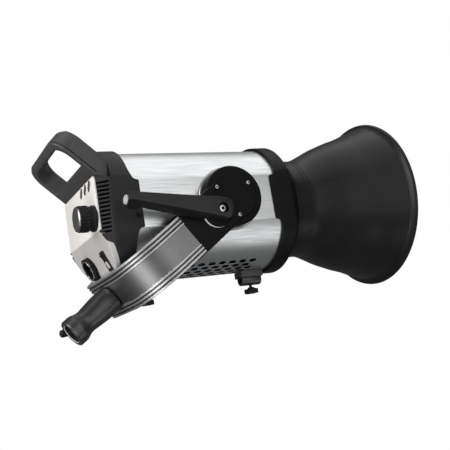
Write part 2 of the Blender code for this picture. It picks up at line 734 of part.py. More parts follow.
RING_BACK, RING_FRONT = 0.0905, 0.1045
LUG_START = 3.0
LUG_TURN = 25.0
LUG_SPAN = 24.0
BASE_X = 0.1052


def sector(inner, outer, start, end, count=4):
    """A piece of a ring, between two angles in degrees."""
    outside = arc((0.0, 0.0), outer, start, end, count)
    return outside + arc((0.0, 0.0), inner, end, start, count)


def make_bayonet_ring(finishes, head):
    """Fixed ring with a groove that holds the reflector's three lugs, and three gaps to let them in."""
    out = axis_frame((0, 0, 0), (1, 0, 0))
    section = [
        (0.0505, RING_FRONT),
        (0.0505, RING_FRONT - 0.003),
        (0.0575, RING_FRONT - 0.003),
        (0.0575, RING_BACK + 0.002),
        (0.0505, RING_BACK + 0.002),
        (0.0505, RING_BACK),
        (0.07, RING_BACK),
        (0.07, RING_FRONT),
    ]
    ring = turned("bayonet_ring", section, finishes["steel"], out, head, 36)
    bm = bmesh.new()
    for i in range(3):
        start = 120 * i + LUG_START + LUG_TURN - 3
        outline = sector(0.045, 0.0572, start, start + LUG_SPAN + 6)
        add_prism(bm, outline, RING_FRONT - 0.005, RING_FRONT + 0.01, "Z", out)
    return combine(ring, guide("bayonet_gaps", bm, head))


def reflector_outside():
    """Radius against X down the reflector's outer side."""
    return [
        (0.0655, BASE_X),
        (0.0675, BASE_X + 0.002),
        (0.0675, 0.135),
        (0.0715, 0.152),
        (0.0843, 0.18),
        (0.0988, 0.224),
        (0.1112, 0.2595),
    ]


def reflector_profile():
    """The bell's wall, thickened at the base and rolled at the mouth."""
    wall = 0.0015
    outside = reflector_outside()
    inside = [(radius - wall, x) for radius, x in outside[2:]]
    lip = [(MOUTH_RADIUS - 0.0012, 0.2635), (MOUTH_RADIUS, 0.2655), (MOUTH_RADIUS, MOUTH_X - 0.001)]
    lip += [(MOUTH_RADIUS - 0.001, MOUTH_X), (MOUTH_RADIUS - 0.003, MOUTH_X), (MOUTH_RADIUS - 0.0038, 0.266)]
    neck = [(0.0655, BASE_X + 0.0028), (0.0495, BASE_X + 0.0028), (0.0495, BASE_X)]
    return outside + lip + inside[::-1] + neck


def make_reflector(finishes, head):
    out = axis_frame((0, 0, 0), (1, 0, 0))
    reflector = turned("reflector", reflector_profile(), finishes["reflector"], out, head, 48)
    bm = bmesh.new()
    for i in range(3):
        start = 120 * i + LUG_START
        stem = sector(0.0472, 0.0499, start, start + LUG_SPAN)
        add_prism(bm, stem, RING_BACK + 0.004, BASE_X + 0.002, "Z", out)
    stems = guide("reflector_lug_stems", bm, head)
    combine(reflector, stems, "UNION")
    bm = bmesh.new()
    for i in range(3):
        start = 120 * i + LUG_START
        hook = sector(0.0478, 0.056, start, start + LUG_SPAN)
        add_prism(bm, hook, RING_BACK + 0.0045, RING_BACK + 0.0085, "Z", out)
    return combine(reflector, guide("reflector_lug_hooks", bm, head), "UNION")


def make_release_latch(finishes, head):
    """A slider on the bezel's far side that frees the reflector."""
    angle = math.radians(42)
    out = Vector((0.0, math.cos(angle), math.sin(angle)))
    seat = axis_frame(out * (CASING_RADIUS + 0.0012), out, (1, 0, 0))
    seat.translation.x = 0.083
    bm = bmesh.new()
    ridge = [(-0.007, 0.0), (0.007, 0.0), (0.007, 0.0016), (0.004, 0.0022), (0.003, 0.0048), (0.0, 0.0048)]
    ridge += [(-0.001, 0.0022), (-0.007, 0.0016)]
    add_prism(bm, ridge, -0.006, 0.006, "Y")
    latch = new_object("release_latch", bm, finishes["steel"], head)
    latch.matrix_local = seat


# Yoke, hub and stand socket: modelled hanging straight down from the tilt axis


def yoke_path(count):
    """The bar's outer line as (y, z, normal angle), from one casting round to the other."""
    side, bottom = YOKE_OUTSIDE, -YOKE_DROP
    start = -CASTING_REACH - GAP
    stations = [(-side, start, 180.0)]
    for i in range(count + 1):
        angle = 180 + 90 * i / count
        stations.append((-side + YOKE_BEND + YOKE_BEND * math.cos(math.radians(angle)),
                         bottom + YOKE_BEND + YOKE_BEND * math.sin(math.radians(angle)), angle))
    mirrored = [(-y, z, 540.0 - angle) for y, z, angle in reversed(stations)]
    return stations + mirrored


def bar_section():
    """The ribbed bar's cross-section as (across, depth) points, depth inwards from the outer face."""
    half, groove = BAR_WIDTH / 2, 0.0012
    ribs = (0.0, 0.0045, 0.009)
    rib_width = 0.0026
    right = []
    for offset in ribs:
        right += [(half - offset, 0.0), (half - offset - rib_width, 0.0)]
        right += [(half - offset - rib_width - 0.0005, groove), (half - offset - 0.004, groove)]
    outer = right + [(-x, depth) for x, depth in reversed(right)]
    return outer + [(-half, BAR_THICK), (half, BAR_THICK)]


def make_yoke_bar(finishes, yoke):
    bm = bmesh.new()
    rings = []
    section = bar_section()
    for y, z, angle in yoke_path(6):
        normal = Vector((0.0, math.cos(math.radians(angle)), math.sin(math.radians(angle))))
        rings.append([bm.verts.new(Vector((x, y, z)) - normal * depth) for x, depth in section])
    bm.faces.new(rings[0])
    bm.faces.new(rings[-1])
    for first, second in zip(rings, rings[1:]):
        for i in range(len(section)):
            j = (i + 1) % len(section)
            bm.faces.new((first[i], first[j], second[j], second[i]))
    bar = new_object("yoke_bar", bm, finishes["extruded"], yoke)
    bm = bmesh.new()
    add_turned(bm, disc_profile(0.0054, -0.19, -0.15), 16)
    return combine(bar, guide("socket_bolt_hole", bm, yoke))


HUB_INNER, HUB_FACE = 0.0813, 0.0967
ARM_INNER, ARM_FACE = 0.0845, 0.1005
CAP_RADIUS = 0.0295


def side_matrix(sign):
    """Z points out of the lamp's side, and X points down the yoke arm."""
    return axis_frame((0, 0, 0), (0, sign, 0), (0, 0, -1))


def make_yoke_end(side, sign, finishes, yoke):
    """The cast end of a yoke arm: a round hub, and an arm that overlaps the bar with two lugs."""
    frame = side_matrix(sign)
    bm = bmesh.new()
    add_turned(bm, disc_profile(HUB_RADIUS, HUB_INNER, HUB_FACE, 0.0012), 40, frame)
    casting = new_object(f"yoke_end_{side}", bm, finishes["casting"], yoke)
    bm = bmesh.new()
    half = 0.028
    arm = rectangle(0.012, CASTING_REACH, -half, half)
    add_prism(bm, arm, ARM_INNER, ARM_FACE, "Z", frame)
    combine(casting, guide(f"arm_{side}", bm, yoke), "UNION")
    bm = bmesh.new()
    tongue_top = YOKE_OUTSIDE - BAR_THICK - GAP
    tongue = rectangle(0.07, 0.0905, -half - 0.001, half + 0.001)
    add_prism(bm, tongue, ARM_INNER + 0.0005, tongue_top, "Z", frame)
    combine(casting, guide(f"tongue_{side}", bm, yoke), "UNION")
    bm = bmesh.new()
    cap, head, bolt = CAP_RADIUS + GAP, 0.011, AXLE_RADIUS + GAP
    cap_floor, head_floor = HUB_FACE - 0.0036, HUB_FACE - 0.0086
    steps = [(0.0, 0.05), (bolt, 0.05), (bolt, head_floor), (head, head_floor), (head, cap_floor)]
    steps += [(cap, cap_floor), (cap, 0.12), (0.0, 0.12)]
    add_turned(bm, steps, 32, frame)
    return combine(casting, guide(f"hub_recess_{side}", bm, yoke))


def make_hub_cap(side, sign, finishes, yoke):
    """The black cap over the tilt bolt, with three small screws."""
    frame = side_matrix(sign)
    low, high = HUB_FACE - 0.0033, HUB_FACE + 0.0009
    profile = disc_profile(CAP_RADIUS, low, high, 0.0008)
    cap = turned(f"hub_cap_{side}", profile, finishes["casting"], frame, yoke, 32)
    start = math.radians(155) if sign < 0 else math.radians(25)
    bm = bmesh.new()
    for index in range(3):
        angle = start - math.radians(120) * index
        world = Vector((0.0255 * math.cos(angle), 0.0, 0.0255 * math.sin(angle)))
        local = Matrix.Rotation(-YOKE_TILT, 4, "Y") @ world
        seat = axis_frame((local.x, sign * (high - 0.0012), local.z), (0, sign, 0))
        screw = [(0.0, GAP), (0.0023, GAP), (0.0023, 0.0012), (0.0018, 0.0017), (0.0, 0.0017)]
        turned(f"cap_screw_{side}_{index + 1}", screw, finishes["steel"], seat, yoke, 14)
        add_turned(bm, disc_profile(0.0026, 0.0, 0.01), 14, seat)
    return combine(cap, guide(f"cap_screw_holes_{side}", bm, yoke))


def make_tilt_joint(side, sign, finishes, head):
    """The silver boss on the body's flat, and the bolt that the yoke turns on."""
    frame = side_matrix(sign)
    low = BODY_FLAT + GAP
    boss = ring_profile(AXLE_RADIUS + GAP, 0.0405, low, HUB_INNER - GAP)
    turned(f"tilt_boss_{side}", boss, finishes["cap"], frame, head, 40)
    bolt = [(0.0, 0.066), (0.009, 0.066), (0.009, 0.072), (AXLE_RADIUS, 0.072)]
    bolt += [(AXLE_RADIUS, HUB_FACE - 0.0083), (0.0095, HUB_FACE - 0.0083), (0.0095, HUB_FACE - 0.004)]
    bolt += [(0.0, HUB_FACE - 0.004)]
    turned(f"tilt_bolt_{side}", bolt, finishes["steel"], frame, head, 24)


def make_lock_lever(finishes, yoke):
    """The long clamp lever on the near arm, with its round hub, screw and end cap."""
    direction = Vector((-0.989, 0.0, 0.147))
    local = Matrix.Rotation(-YOKE_TILT, 4, "Y") @ direction
    base = ARM_FACE + GAP
    frame = axis_frame((0.0, -base, -LEVER_PIVOT), (0, -1, 0), local)
    pivot = empty("lever_axis", frame, yoke)
    hub = [(0.0, 0.0), (0.0195, 0.0), (0.0195, 0.0035), (0.0185, 0.0055), (0.0, 0.0055)]
    turned("lever_hub", hub, finishes["casting"], Matrix(), pivot, 40)
    wide, narrow = 0.0125, 0.0088
    tip = LEVER_LENGTH
    outline = arc((0.0, 0.0), wide, 95, 265, 12) + [(tip, -narrow), (tip, narrow)]
    low, high = 0.0058, 0.0215
    bm = bmesh.new()
    add_prism(bm, outline, low, high, "Z")
    lever = new_object("lock_lever", bm, finishes["casting"], pivot)
    soften(lever, 0.003)
    bm = bmesh.new()
    add_turned(bm, disc_profile(0.0058, high - 0.006, high + 0.01), 24)
    combine(lever, guide("lever_recess", bm, pivot))
    slope = [(0.02, high + 0.01), (tip + 0.02, high + 0.01), (tip + 0.02, high - 0.0045), (0.02, high)]
    bm = bmesh.new()
    add_prism(bm, slope, -0.03, 0.03, "Y")
    combine(lever, guide("lever_slope", bm, pivot))
    screw = [(0.0, high - 0.0057), (0.005, high - 0.0057), (0.005, high - 0.003), (0.0035, high - 0.0018)]
    screw += [(0.0, high - 0.0018)]
    turned("lever_screw", screw, finishes["steel"], Matrix(), pivot, 20)
    seat = axis_frame((tip + GAP, 0.0, (low + high - 0.004) / 2), (1, 0, 0))
    cap = [(0.0, 0.0), (0.0058, 0.0), (0.0055, 0.0015), (0.0035, 0.0028), (0.0, 0.0033)]
    turned("lever_end_cap", cap, finishes["tip"], seat, pivot, 20)


def make_clamp_handle(finishes, yoke, place):
    """The screw that grips the stand's spigot, with a short bar across its end to turn it by."""
    bar, half, height = 0.005, 0.0155, 0.036
    bm = bmesh.new()
    along = axis_frame((0, 0, height), (1, 0, 0))
    ends = [(0.0, -half), (bar * 0.7, -half + 0.0012), (bar, -half + 0.004)]
    profile = ends + [(radius, -h) for radius, h in reversed(ends)]
    add_turned(bm, profile, 16, along)
    handle = new_object("clamp_handle", bm, finishes["knob"], yoke)
    bm = bmesh.new()
    stem = [(0.0, 0.0105), (0.003, 0.0105), (0.003, 0.0195), (0.006, 0.0205), (0.006, height), (0.0, height)]
    add_turned(bm, stem, 16)
    stem = guide("clamp_stem", bm, yoke)
    handle.matrix_local = place
    stem.matrix_local = place
    combine(handle, stem, "UNION")


def make_stand_socket(finishes, yoke):
    """The socket that takes the stand's spigot, with its bolt and clamp screw."""
    top = -YOKE_DROP - GAP
    mouth = top - SOCKET_LENGTH
    bore, mouth_bore = 0.0083, 0.0125
    profile = [
        (0.0, top),
        (0.0175, top),
        (0.0172, top - 0.022),
        (0.0148, top - 0.036),
        (0.0133, top - 0.042),
        (0.0138, top - 0.047),
        (0.0172, top - 0.053),
        (0.018, top - 0.057),
        (0.018, mouth + 0.0012),
        (0.0172, mouth),
        (mouth_bore, mouth),
        (mouth_bore, mouth + 0.006),
        (bore, mouth + 0.012),
        (bore, mouth + 0.052),
        (0.0, mouth + 0.052),
    ]
    socket = turned("stand_socket", profile[::-1], finishes["socket"], Matrix(), yoke, 28)
    knob_z = mouth + 0.0125
    bm = bmesh.new()
    add_turned(bm, disc_profile(0.0033, 0.0, 0.03), 16, axis_frame((0, 0, knob_z), (0, 1, 0)))
    combine(socket, guide("clamp_screw_hole", bm, yoke))
    place = axis_frame((0, 0, knob_z), (0, 1, 0), (-0.42, 0, -0.9))
    make_clamp_handle(finishes, yoke, place)
    seat = -YOKE_DROP + BAR_THICK
    bolt = [(0.0, seat + 0.004), (0.009, seat + 0.004), (0.009, seat + GAP), (0.005, seat + GAP)]
    bolt += [(0.005, -YOKE_DROP + GAP), (0.0, -YOKE_DROP + GAP)]
    turned("socket_bolt", bolt, finishes["steel"], Matrix(), yoke, 20)


def clear_scene():
    for obj in list(bpy.data.objects):
        bpy.data.objects.remove(obj, do_unlink=True)


def main():
    clear_scene()
    finishes = make_finishes()
    head = empty("head_axis", Matrix.Translation(TILT_AXIS))
    yoke = empty("yoke_axis", Matrix.Translation(TILT_AXIS) @ Matrix.Rotation(YOKE_TILT, 4, "Y"))
    make_upper_cover(finishes, head)
    make_lower_cover(finishes, head)
    make_rear_casing(finishes, head)
    make_front_bezel(finishes, head)
    make_carry_handle(finishes, head)
    make_rear_panel(finishes, head)
    make_connector_panel(finishes, head)
    make_power_dial(finishes, head)
    make_buttons(finishes, head)
    make_inlet_and_switch(finishes, head)
    make_casing_screws(finishes, head)
    make_umbrella_holder("front", 0.053, finishes, head)
    make_umbrella_holder("rear", -0.097, finishes, head)
    make_inside(finishes, head)
    make_bayonet_ring(finishes, head)
    make_reflector(finishes, head)
    make_release_latch(finishes, head)
    make_yoke_bar(finishes, yoke)
    for side, sign in SIDES.items():
        make_yoke_end(side, sign, finishes, yoke)
        make_hub_cap(side, sign, finishes, yoke)
        make_tilt_joint(side, sign, finishes, head)
    make_lock_lever(finishes, yoke)
    make_stand_socket(finishes, yoke)


main()
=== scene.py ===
"""Monolight studio strobe: the visible pieces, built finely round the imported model.

Metres, +Z up, +X is where the light goes. The origin is the centre of the stand socket's mouth.
Head pieces are placed from the tilt axis, and yoke pieces hang from the same axis along local -Z.
"""

import json
import math

import bmesh
import bpy
from mathutils import Matrix, Vector


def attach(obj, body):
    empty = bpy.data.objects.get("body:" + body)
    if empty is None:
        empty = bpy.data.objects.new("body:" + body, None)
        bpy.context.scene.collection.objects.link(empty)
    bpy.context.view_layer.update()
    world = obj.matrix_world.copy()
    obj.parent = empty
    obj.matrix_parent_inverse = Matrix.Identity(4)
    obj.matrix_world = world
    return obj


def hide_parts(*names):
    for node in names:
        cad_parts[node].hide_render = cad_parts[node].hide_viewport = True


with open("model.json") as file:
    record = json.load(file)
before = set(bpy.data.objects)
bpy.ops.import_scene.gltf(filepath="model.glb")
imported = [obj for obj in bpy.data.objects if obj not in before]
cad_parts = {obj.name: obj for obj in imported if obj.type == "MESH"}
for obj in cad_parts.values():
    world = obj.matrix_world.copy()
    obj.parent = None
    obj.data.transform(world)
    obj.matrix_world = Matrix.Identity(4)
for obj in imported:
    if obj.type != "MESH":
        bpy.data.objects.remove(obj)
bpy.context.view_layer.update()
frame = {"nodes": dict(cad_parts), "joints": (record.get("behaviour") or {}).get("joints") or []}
JOINTS = {joint["name"]: joint for joint in frame["joints"]}

# Main sizes, in metres
TILT_AXIS = Vector(JOINTS["head_tilt"]["pos_m"])
YOKE_TILT = math.radians(55.2)
HEAD = Matrix.Translation(TILT_AXIS)
YOKE = HEAD @ Matrix.Rotation(YOKE_TILT, 4, "Y")
SIDES = {"near": -1, "far": 1}
SIDEWAYS = Matrix.Rotation(math.pi / 2, 4, "Y")
GAP = 0.0003
BODY_RADIUS, BODY_FLAT = 0.0825, 0.0773
COVER_WALL = 0.002
CASING_RADIUS, CASING_FLAT = 0.0862, 0.0792
PARTING_Z = -0.029
REAR_SEAM_X, FRONT_SEAM_X, SEAM_TAB = -0.1255, 0.0745, 0.0105
YOKE_OUTSIDE, YOKE_DROP, YOKE_BEND = 0.1, 0.172, 0.062
BAR_WIDTH, BAR_THICK = 0.053, 0.009
SOCKET_LENGTH = 0.067
CASTING_REACH = 0.08
HUB_RADIUS, HUB_INNER, HUB_FACE = 0.0377, 0.0813, 0.0967
ARM_INNER, ARM_FACE = 0.0845, 0.1005
CAP_RADIUS = 0.0295
AXLE_RADIUS = 0.006
LEVER_PIVOT, LEVER_LENGTH = 0.037, 0.1165
MOUTH_RADIUS, MOUTH_X = 0.1186, 0.2684
LAMP_PLATE_X = 0.0895


# Materials


def add_node(tree, kind, **settings):
    """A new node with its settings."""
    node = tree.nodes.new("ShaderNode" + kind)
    for name, value in settings.items():
        setattr(node, name, value)
    return node


def feed(node, values):
    """Sets a node's unlinked inputs."""
    for name, value in values.items():
        node.inputs[name].default_value = value


def noise(tree, place, stretch, scale):
    """Noise over the object, stretched along one axis to make a brush or a grain."""
    mapping = add_node(tree, "Mapping")
    feed(mapping, {"Scale": stretch})
    tree.links.new(place, mapping.inputs["Vector"])
    texture = add_node(tree, "TexNoise")
    feed(texture, {"Scale": scale, "Detail": 3.0})
    tree.links.new(mapping.outputs["Vector"], texture.inputs["Vector"])
    return texture.outputs["Fac"]


def ranged(tree, value, low, high, start=0.3, end=0.7):
    """A value's middle range spread from low to high."""
    node = add_node(tree, "MapRange")
    feed(node, {"From Min": start, "From Max": end, "To Min": low, "To Max": high})
    tree.links.new(value, node.inputs["Value"])
    return node.outputs["Result"]


def mixed(tree, factor, first, second):
    """Colour between first and second. Each is a colour or a socket."""
    node = add_node(tree, "Mix", data_type="RGBA")
    tree.links.new(factor, node.inputs[0])
    for socket, colour in ((node.inputs[6], first), (node.inputs[7], second)):
        if isinstance(colour, bpy.types.NodeSocket):
            tree.links.new(colour, socket)
        else:
            socket.default_value = (*colour, 1.0)
    return node.outputs[2]


def edge_mask(tree, radius):
    """Near 1 along sharp edges and 0 on open faces, with the rounded normal that shows it."""
    bevel = add_node(tree, "Bevel", samples=6)
    feed(bevel, {"Radius": radius})
    flat = add_node(tree, "NewGeometry")
    dot = add_node(tree, "VectorMath", operation="DOT_PRODUCT")
    tree.links.new(bevel.outputs["Normal"], dot.inputs[0])
    tree.links.new(flat.outputs["Normal"], dot.inputs[1])
    return bevel.outputs["Normal"], ranged(tree, dot.outputs["Value"], 1.0, 0, 0.86, 0.995)


def surface(name, colour, other, rough, metallic=0, stretch=(1, 1, 1), grain=900.0, bump=0.05,
            patches=25.0, edge=0.0005, wear=None, specular=0.5, depth=0.35):
    """One finish: two close colours in patches, a grain that also moves the roughness, and worn edges."""
    material = bpy.data.materials.new(name)
    material.use_nodes = True
    tree = material.node_tree
    link = tree.links.new
    shader = tree.nodes["Principled BSDF"]
    place = add_node(tree, "TexCoord").outputs["Object"]
    fine = noise(tree, place, stretch, grain)
    broad = noise(tree, place, (1, 1, 1), patches)
    normal, edges = edge_mask(tree, edge)
    tone = mixed(tree, ranged(tree, broad, 0, 1.0), colour, other)
    tone = mixed(tree, ranged(tree, fine, 0, depth), tone, tuple(c * 0.72 for c in colour))
    tone = mixed(tree, edges, tone, wear or tuple(min(1.0, c * 1.5 + 0.01) for c in colour))
    link(tone, shader.inputs["Base Color"])
    link(ranged(tree, fine, rough * 0.88, rough * 1.15), shader.inputs["Roughness"])
    relief = add_node(tree, "Bump")
    feed(relief, {"Strength": bump, "Distance": 0.0002})
    link(fine, relief.inputs["Height"])
    link(normal, relief.inputs["Normal"])
    link(relief.outputs["Normal"], shader.inputs["Normal"])
    feed(shader, {"Metallic": metallic, "Specular IOR Level": specular})
    return material


ALONG = (0.03, 1.0, 1.0)
BRUSHED = surface(
    "brushed_aluminium", (0.8, 0.82, 0.82), (0.74, 0.76, 0.77), 0.34, 1.0, ALONG, 800, 0.2,
    patches=9.0, depth=1.0
)
EXTRUDED = surface(
    "extruded_aluminium", (0.25, 0.245, 0.25), (0.21, 0.205, 0.21), 0.42, 1.0,
    grain=1300, bump=0.03, edge=0.0001
)
# Rib tops and bar edges: worn bare metal, painted much brighter as a painted highlight too.
RIB_WEAR_AND_HIGHLIGHT = surface(
    "rib_wear_and_painted_highlight", (0.62, 0.62, 0.62), (0.52, 0.52, 0.53), 0.46, 1.0, grain=1300, bump=0.02, edge=0.0001
)
# Groove bottoms painted near black: painted shade in the grooves.
GROOVE_SHADE = surface("rib_grooves_painted_shade", (0.1, 0.1, 0.1), (0.08, 0.08, 0.08), 0.45, 1.0, grain=1300, bump=0.02)
# The front bezel's black moulding is painted darker than the casing's same moulding: painted shade.
BEZEL = surface(
    "front_moulding_painted_darker", (0.004, 0.004, 0.0045), (0.006, 0.006, 0.0065), 0.45, grain=2200,
    bump=0.12, specular=0.12
)
PLATE = surface("sheet_metal", (0.2, 0.2, 0.2), (0.16, 0.16, 0.16), 0.4, 1.0, (1, 0.04, 1), 1200)
CASING = surface(
    "black_moulding", (0.015, 0.0145, 0.015), (0.018, 0.0175, 0.018), 0.5, grain=2200,
    bump=0.12, specular=0.2
)
# The handle's black moulding is painted lighter than the casing's same moulding: painted light on its upward
# faces.
HANDLE = surface("handle_moulding_painted_lighter", (0.034, 0.032, 0.033), (0.042, 0.04, 0.041), 0.46, grain=2200, bump=0.12)
CASTING = surface(
    "black_casting", (0.003, 0.003, 0.0033), (0.005, 0.005, 0.0055), 0.4, grain=1600,
    bump=0.1, specular=0.09
)
SOCKET = surface(
    "black_socket", (0.012, 0.012, 0.013), (0.014, 0.014, 0.015), 0.33, grain=2000, bump=0.03, specular=0.75
)
# Besides the knobs, this near black is painted on the covers' inner faces, the vent walls, hex recesses, the
# handle's groove and the lever's lower facet as painted shade.
KNOB = surface("black_knob", (0.005, 0.005, 0.006), (0.008, 0.008, 0.009), 0.4, grain=2000, specular=0.2)
LEVER = surface(
    "lever_moulding", (0.008, 0.0075, 0.008), (0.012, 0.011, 0.012), 0.38, grain=2000, specular=0.3
)
PANEL = surface("grey_panel", (0.67, 0.645, 0.61), (0.63, 0.605, 0.575), 0.5, grain=2000, edge=0.0003)
# The connector panel, which faces down, gets a darker copy of the grey panel: painted shade.
PANEL_PAINTED_SHADE = surface(
    "grey_panel_painted_shade", (0.4, 0.385, 0.37), (0.37, 0.355, 0.34), 0.5, grain=2000,
    edge=0.0008, wear=(0.8, 0.78, 0.75)
)
BUTTON = surface("button_brown", (0.05, 0.042, 0.04), (0.06, 0.05, 0.048), 0.4, grain=2500)
# Pale rings round the buttons, also used as a painted highlight on the lever hub and the socket's mouth.
PALE_RIM_AND_HIGHLIGHT = surface("button_rim_and_painted_highlight", (0.7, 0.68, 0.66), (0.66, 0.64, 0.62), 0.35, grain=2500)
SILVER = surface("silver_cap", (0.4, 0.4, 0.4), (0.36, 0.36, 0.36), 0.3, 1.0, grain=1800)
STEEL = surface("bright_steel", (0.66, 0.66, 0.67), (0.58, 0.58, 0.59), 0.22, 1.0, grain=1500)
BELL = surface(
    "black_reflector", (0.007, 0.0065, 0.007), (0.01, 0.0095, 0.01), 0.36,
    stretch=(1.0, 0.05, 0.05), grain=1600, bump=0.1, specular=0.2
)
BELL_INSIDE = surface(
    "reflector_inside", (0.62, 0.62, 0.63), (0.55, 0.55, 0.56), 0.35, 1.0, grain=700, bump=0.4
)
CERAMIC = surface("white_ceramic", (0.8, 0.79, 0.75), (0.74, 0.73, 0.69), 0.5, grain=1800)
BOARD = surface("green_board", (0.03, 0.16, 0.07), (0.02, 0.12, 0.05), 0.5)
SLEEVE = surface("dark_sleeve", (0.02, 0.03, 0.09), (0.015, 0.02, 0.07), 0.35)
TIP = surface("grey_tip", (0.36, 0.36, 0.36), (0.32, 0.32, 0.32), 0.4)
SWITCH_LIGHT = surface("switch_marked_end", (0.45, 0.44, 0.43), (0.4, 0.39, 0.38), 0.4)


def clear_glass():
    glass = surface(
        "clear_glass", (0.95, 0.97, 0.97), (0.9, 0.93, 0.93), 0.06, grain=400, bump=0.02, edge=0.0002
    )
    feed(glass.node_tree.nodes["Principled BSDF"], {"Transmission Weight": 0.92})
    return glass


GLASS = clear_glass()


# Building shapes


SMOOTH_UP_TO = math.radians(32)


def solid(name, bm, material):
    bmesh.ops.recalc_face_normals(bm, faces=bm.faces)
    mesh = bpy.data.meshes.new(name)
    bm.to_mesh(mesh)
    bm.free()
    mesh.shade_smooth()
    mesh.set_sharp_from_angle(angle=SMOOTH_UP_TO)
    if material:
        mesh.materials.append(material)
    obj = bpy.data.objects.new(name, mesh)
    bpy.context.scene.collection.objects.link(obj)
    return obj


def settle(obj):
    """Replaces an object's mesh by what its modifiers make, with round faces shaded smooth."""
    graph = bpy.context.evaluated_depsgraph_get()
    mesh = bpy.data.meshes.new_from_object(obj.evaluated_get(graph))
    obj.modifiers.clear()
    obj.data = mesh
    mesh.shade_smooth()
    mesh.set_sharp_from_angle(angle=SMOOTH_UP_TO)
    return obj


def combine(obj, bm, operation="DIFFERENCE", material=None):
    """Cuts obj with a shape, or joins or crops it."""
    tool = solid(obj.name + "_tool", bm, material)
    boolean = obj.modifiers.new("Combine", "BOOLEAN")
    boolean.operation = operation
    boolean.object = tool
    boolean.material_mode = "TRANSFER"
    settle(obj)
    bpy.data.objects.remove(tool)
    return obj


def taken(obj):
    """An object's mesh as a shape to cut or join with. The object itself goes."""
    bm = bmesh.new()
    bm.from_mesh(obj.data)
    bpy.data.objects.remove(obj)
    return bm


def rounded(obj, width, segments=3, angle=40.0):
    """Rounds an object's sharp edges."""
    bevel = obj.modifiers.new("Rounded edges", "BEVEL")
    bevel.width = width
    bevel.segments = segments
    bevel.limit_method = "ANGLE"
    bevel.angle_limit = math.radians(angle)
    bevel.miter_outer = "MITER_ARC"
    bevel.harden_normals = False
    return settle(obj)


def stands_for(obj, body, slot, *nodes):
    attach(obj, body)
    if nodes:
        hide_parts(*nodes)
    return obj


def axis_frame(origin, axis, across=(0, 0, 1.0), parent=HEAD):
    """A place whose Z is axis, and whose X is as near to across as it can be."""
    z = Vector(axis).normalized()
    x = Vector(across) - z * z.dot(Vector(across))
    if x.length < 1e-6:
        x = z.orthogonal()
    x.normalize()
    turn = Matrix((x, z.cross(x), z)).transposed().to_4x4()
    return parent @ Matrix.Translation(Vector(origin)) @ turn


FORWARD = axis_frame((0, 0, 0), (1, 0, 0))


def add_turned(bm, profile, segments, place):
    """Spins (radius, height) points round Z. A profile that ends on the axis is closed there."""
    rings = []
    for radius, height in profile:
        count = segments if radius > 1e-7 else 1
        angles = [2 * math.pi * i / count for i in range(count)]
        points = [Vector((radius * math.cos(a), radius * math.sin(a), height)) for a in angles]
        rings.append([bm.verts.new(place @ p) for p in points])
    pairs = list(zip(rings, rings[1:]))
    if len(rings[0]) > 1 and len(rings[-1]) > 1:
        pairs.append((rings[-1], rings[0]))
    for first, second in pairs:
        for i in range(segments):
            j = (i + 1) % segments
            corners = [first[i % len(first)], first[j % len(first)]]
            corners += [second[j % len(second)], second[i % len(second)]]
            unique = list(dict.fromkeys(corners))
            if len(unique) > 2:
                bm.faces.new(unique)


def turned(name, profile, material, place, segments=72):
    return solid(name, round_shape(profile, place, segments), material)


def disc(radius, low, high, edge=0):
    """A disc's half section, its outer edges rounded by edge."""
    if not edge:
        return [(0, low), (radius, low), (radius, high), (0, high)]
    bottom = [(radius - edge + x, low + edge + y) for x, y in arc((0, 0), edge, -90, 0, 4)]
    top = [(radius - edge + x, high - edge + y) for x, y in arc((0, 0), edge, 0, 90, 4)]
    return [(0, low), *bottom, *top, (0, high)]


AXIS_ORDER = {"X": (2, 0, 1), "Y": (0, 2, 1), "Z": (0, 1, 2)}


def add_prism(bm, outline, low, high, axis="Z", place=HEAD):
    """Extrudes an outline from low to high along axis. Its points are in the other two axes, in order."""
    order = AXIS_ORDER[axis]
    ends = []
    for level in (low, high):
        points = [(a, b, level) for a, b in outline]
        ends.append([bm.verts.new(place @ Vector([p[k] for k in order])) for p in points])
    bm.faces.new(ends[0])
    bm.faces.new(ends[1])
    for i in range(len(outline)):
        j = (i + 1) % len(outline)
        bm.faces.new((ends[0][i], ends[0][j], ends[1][j], ends[1][i]))


def shape(*prisms):
    """One shape from (outline, low, high, axis, place) prisms that don't touch."""
    bm = bmesh.new()
    for parts in prisms:
        add_prism(bm, *parts)
    return bm


def round_shape(profile, place, segments=72):
    bm = bmesh.new()
    add_turned(bm, profile, segments, place)
    return bm


def rectangle(left, right, bottom, top):
    return [(left, bottom), (right, bottom), (right, top), (left, top)]


def arc(centre, radius, start, end, count):
    """Points along an arc, from start to end in degrees, both ends included."""
    angles = [math.radians(start + (end - start) * i / count) for i in range(count + 1)]
    return [(centre[0] + radius * math.cos(a), centre[1] + radius * math.sin(a)) for a in angles]


def slot_outline(length, width, count=10):
    half = (length - width) / 2
    right = arc((half, 0), width / 2, -90, 90, count)
    return right + arc((-half, 0), width / 2, 90, 270, count)


def body_outline(radius, flat):
    """A circle with its two sides cut flat, as (y, z) points."""
    limit = math.degrees(math.asin(math.sqrt(radius**2 - flat**2) / radius))
    top = arc((0, 0), radius, limit, 180 - limit, 64)
    return top + arc((0, 0), radius, 180 + limit, 360 - limit, 64)


def skinned(rows):
    """A closed shape over rows of as many points each."""
    bm = bmesh.new()
    rings = [[bm.verts.new(point) for point in row] for row in rows]
    bm.faces.new(rings[0])
    bm.faces.new(rings[-1])
    for first, second in zip(rings, rings[1:]):
        for i in range(len(first)):
            j = (i + 1) % len(first)
            bm.faces.new((first[i], first[j], second[j], second[i]))
    return bm


def loft(sections):
    """Joins body outlines of (x, radius, flat) into one closed shape."""
    rows = []
    for x, radius, flat in sections:
        rows.append([HEAD @ Vector((x, y, z)) for y, z in body_outline(radius, flat)])
    return skinned(rows)


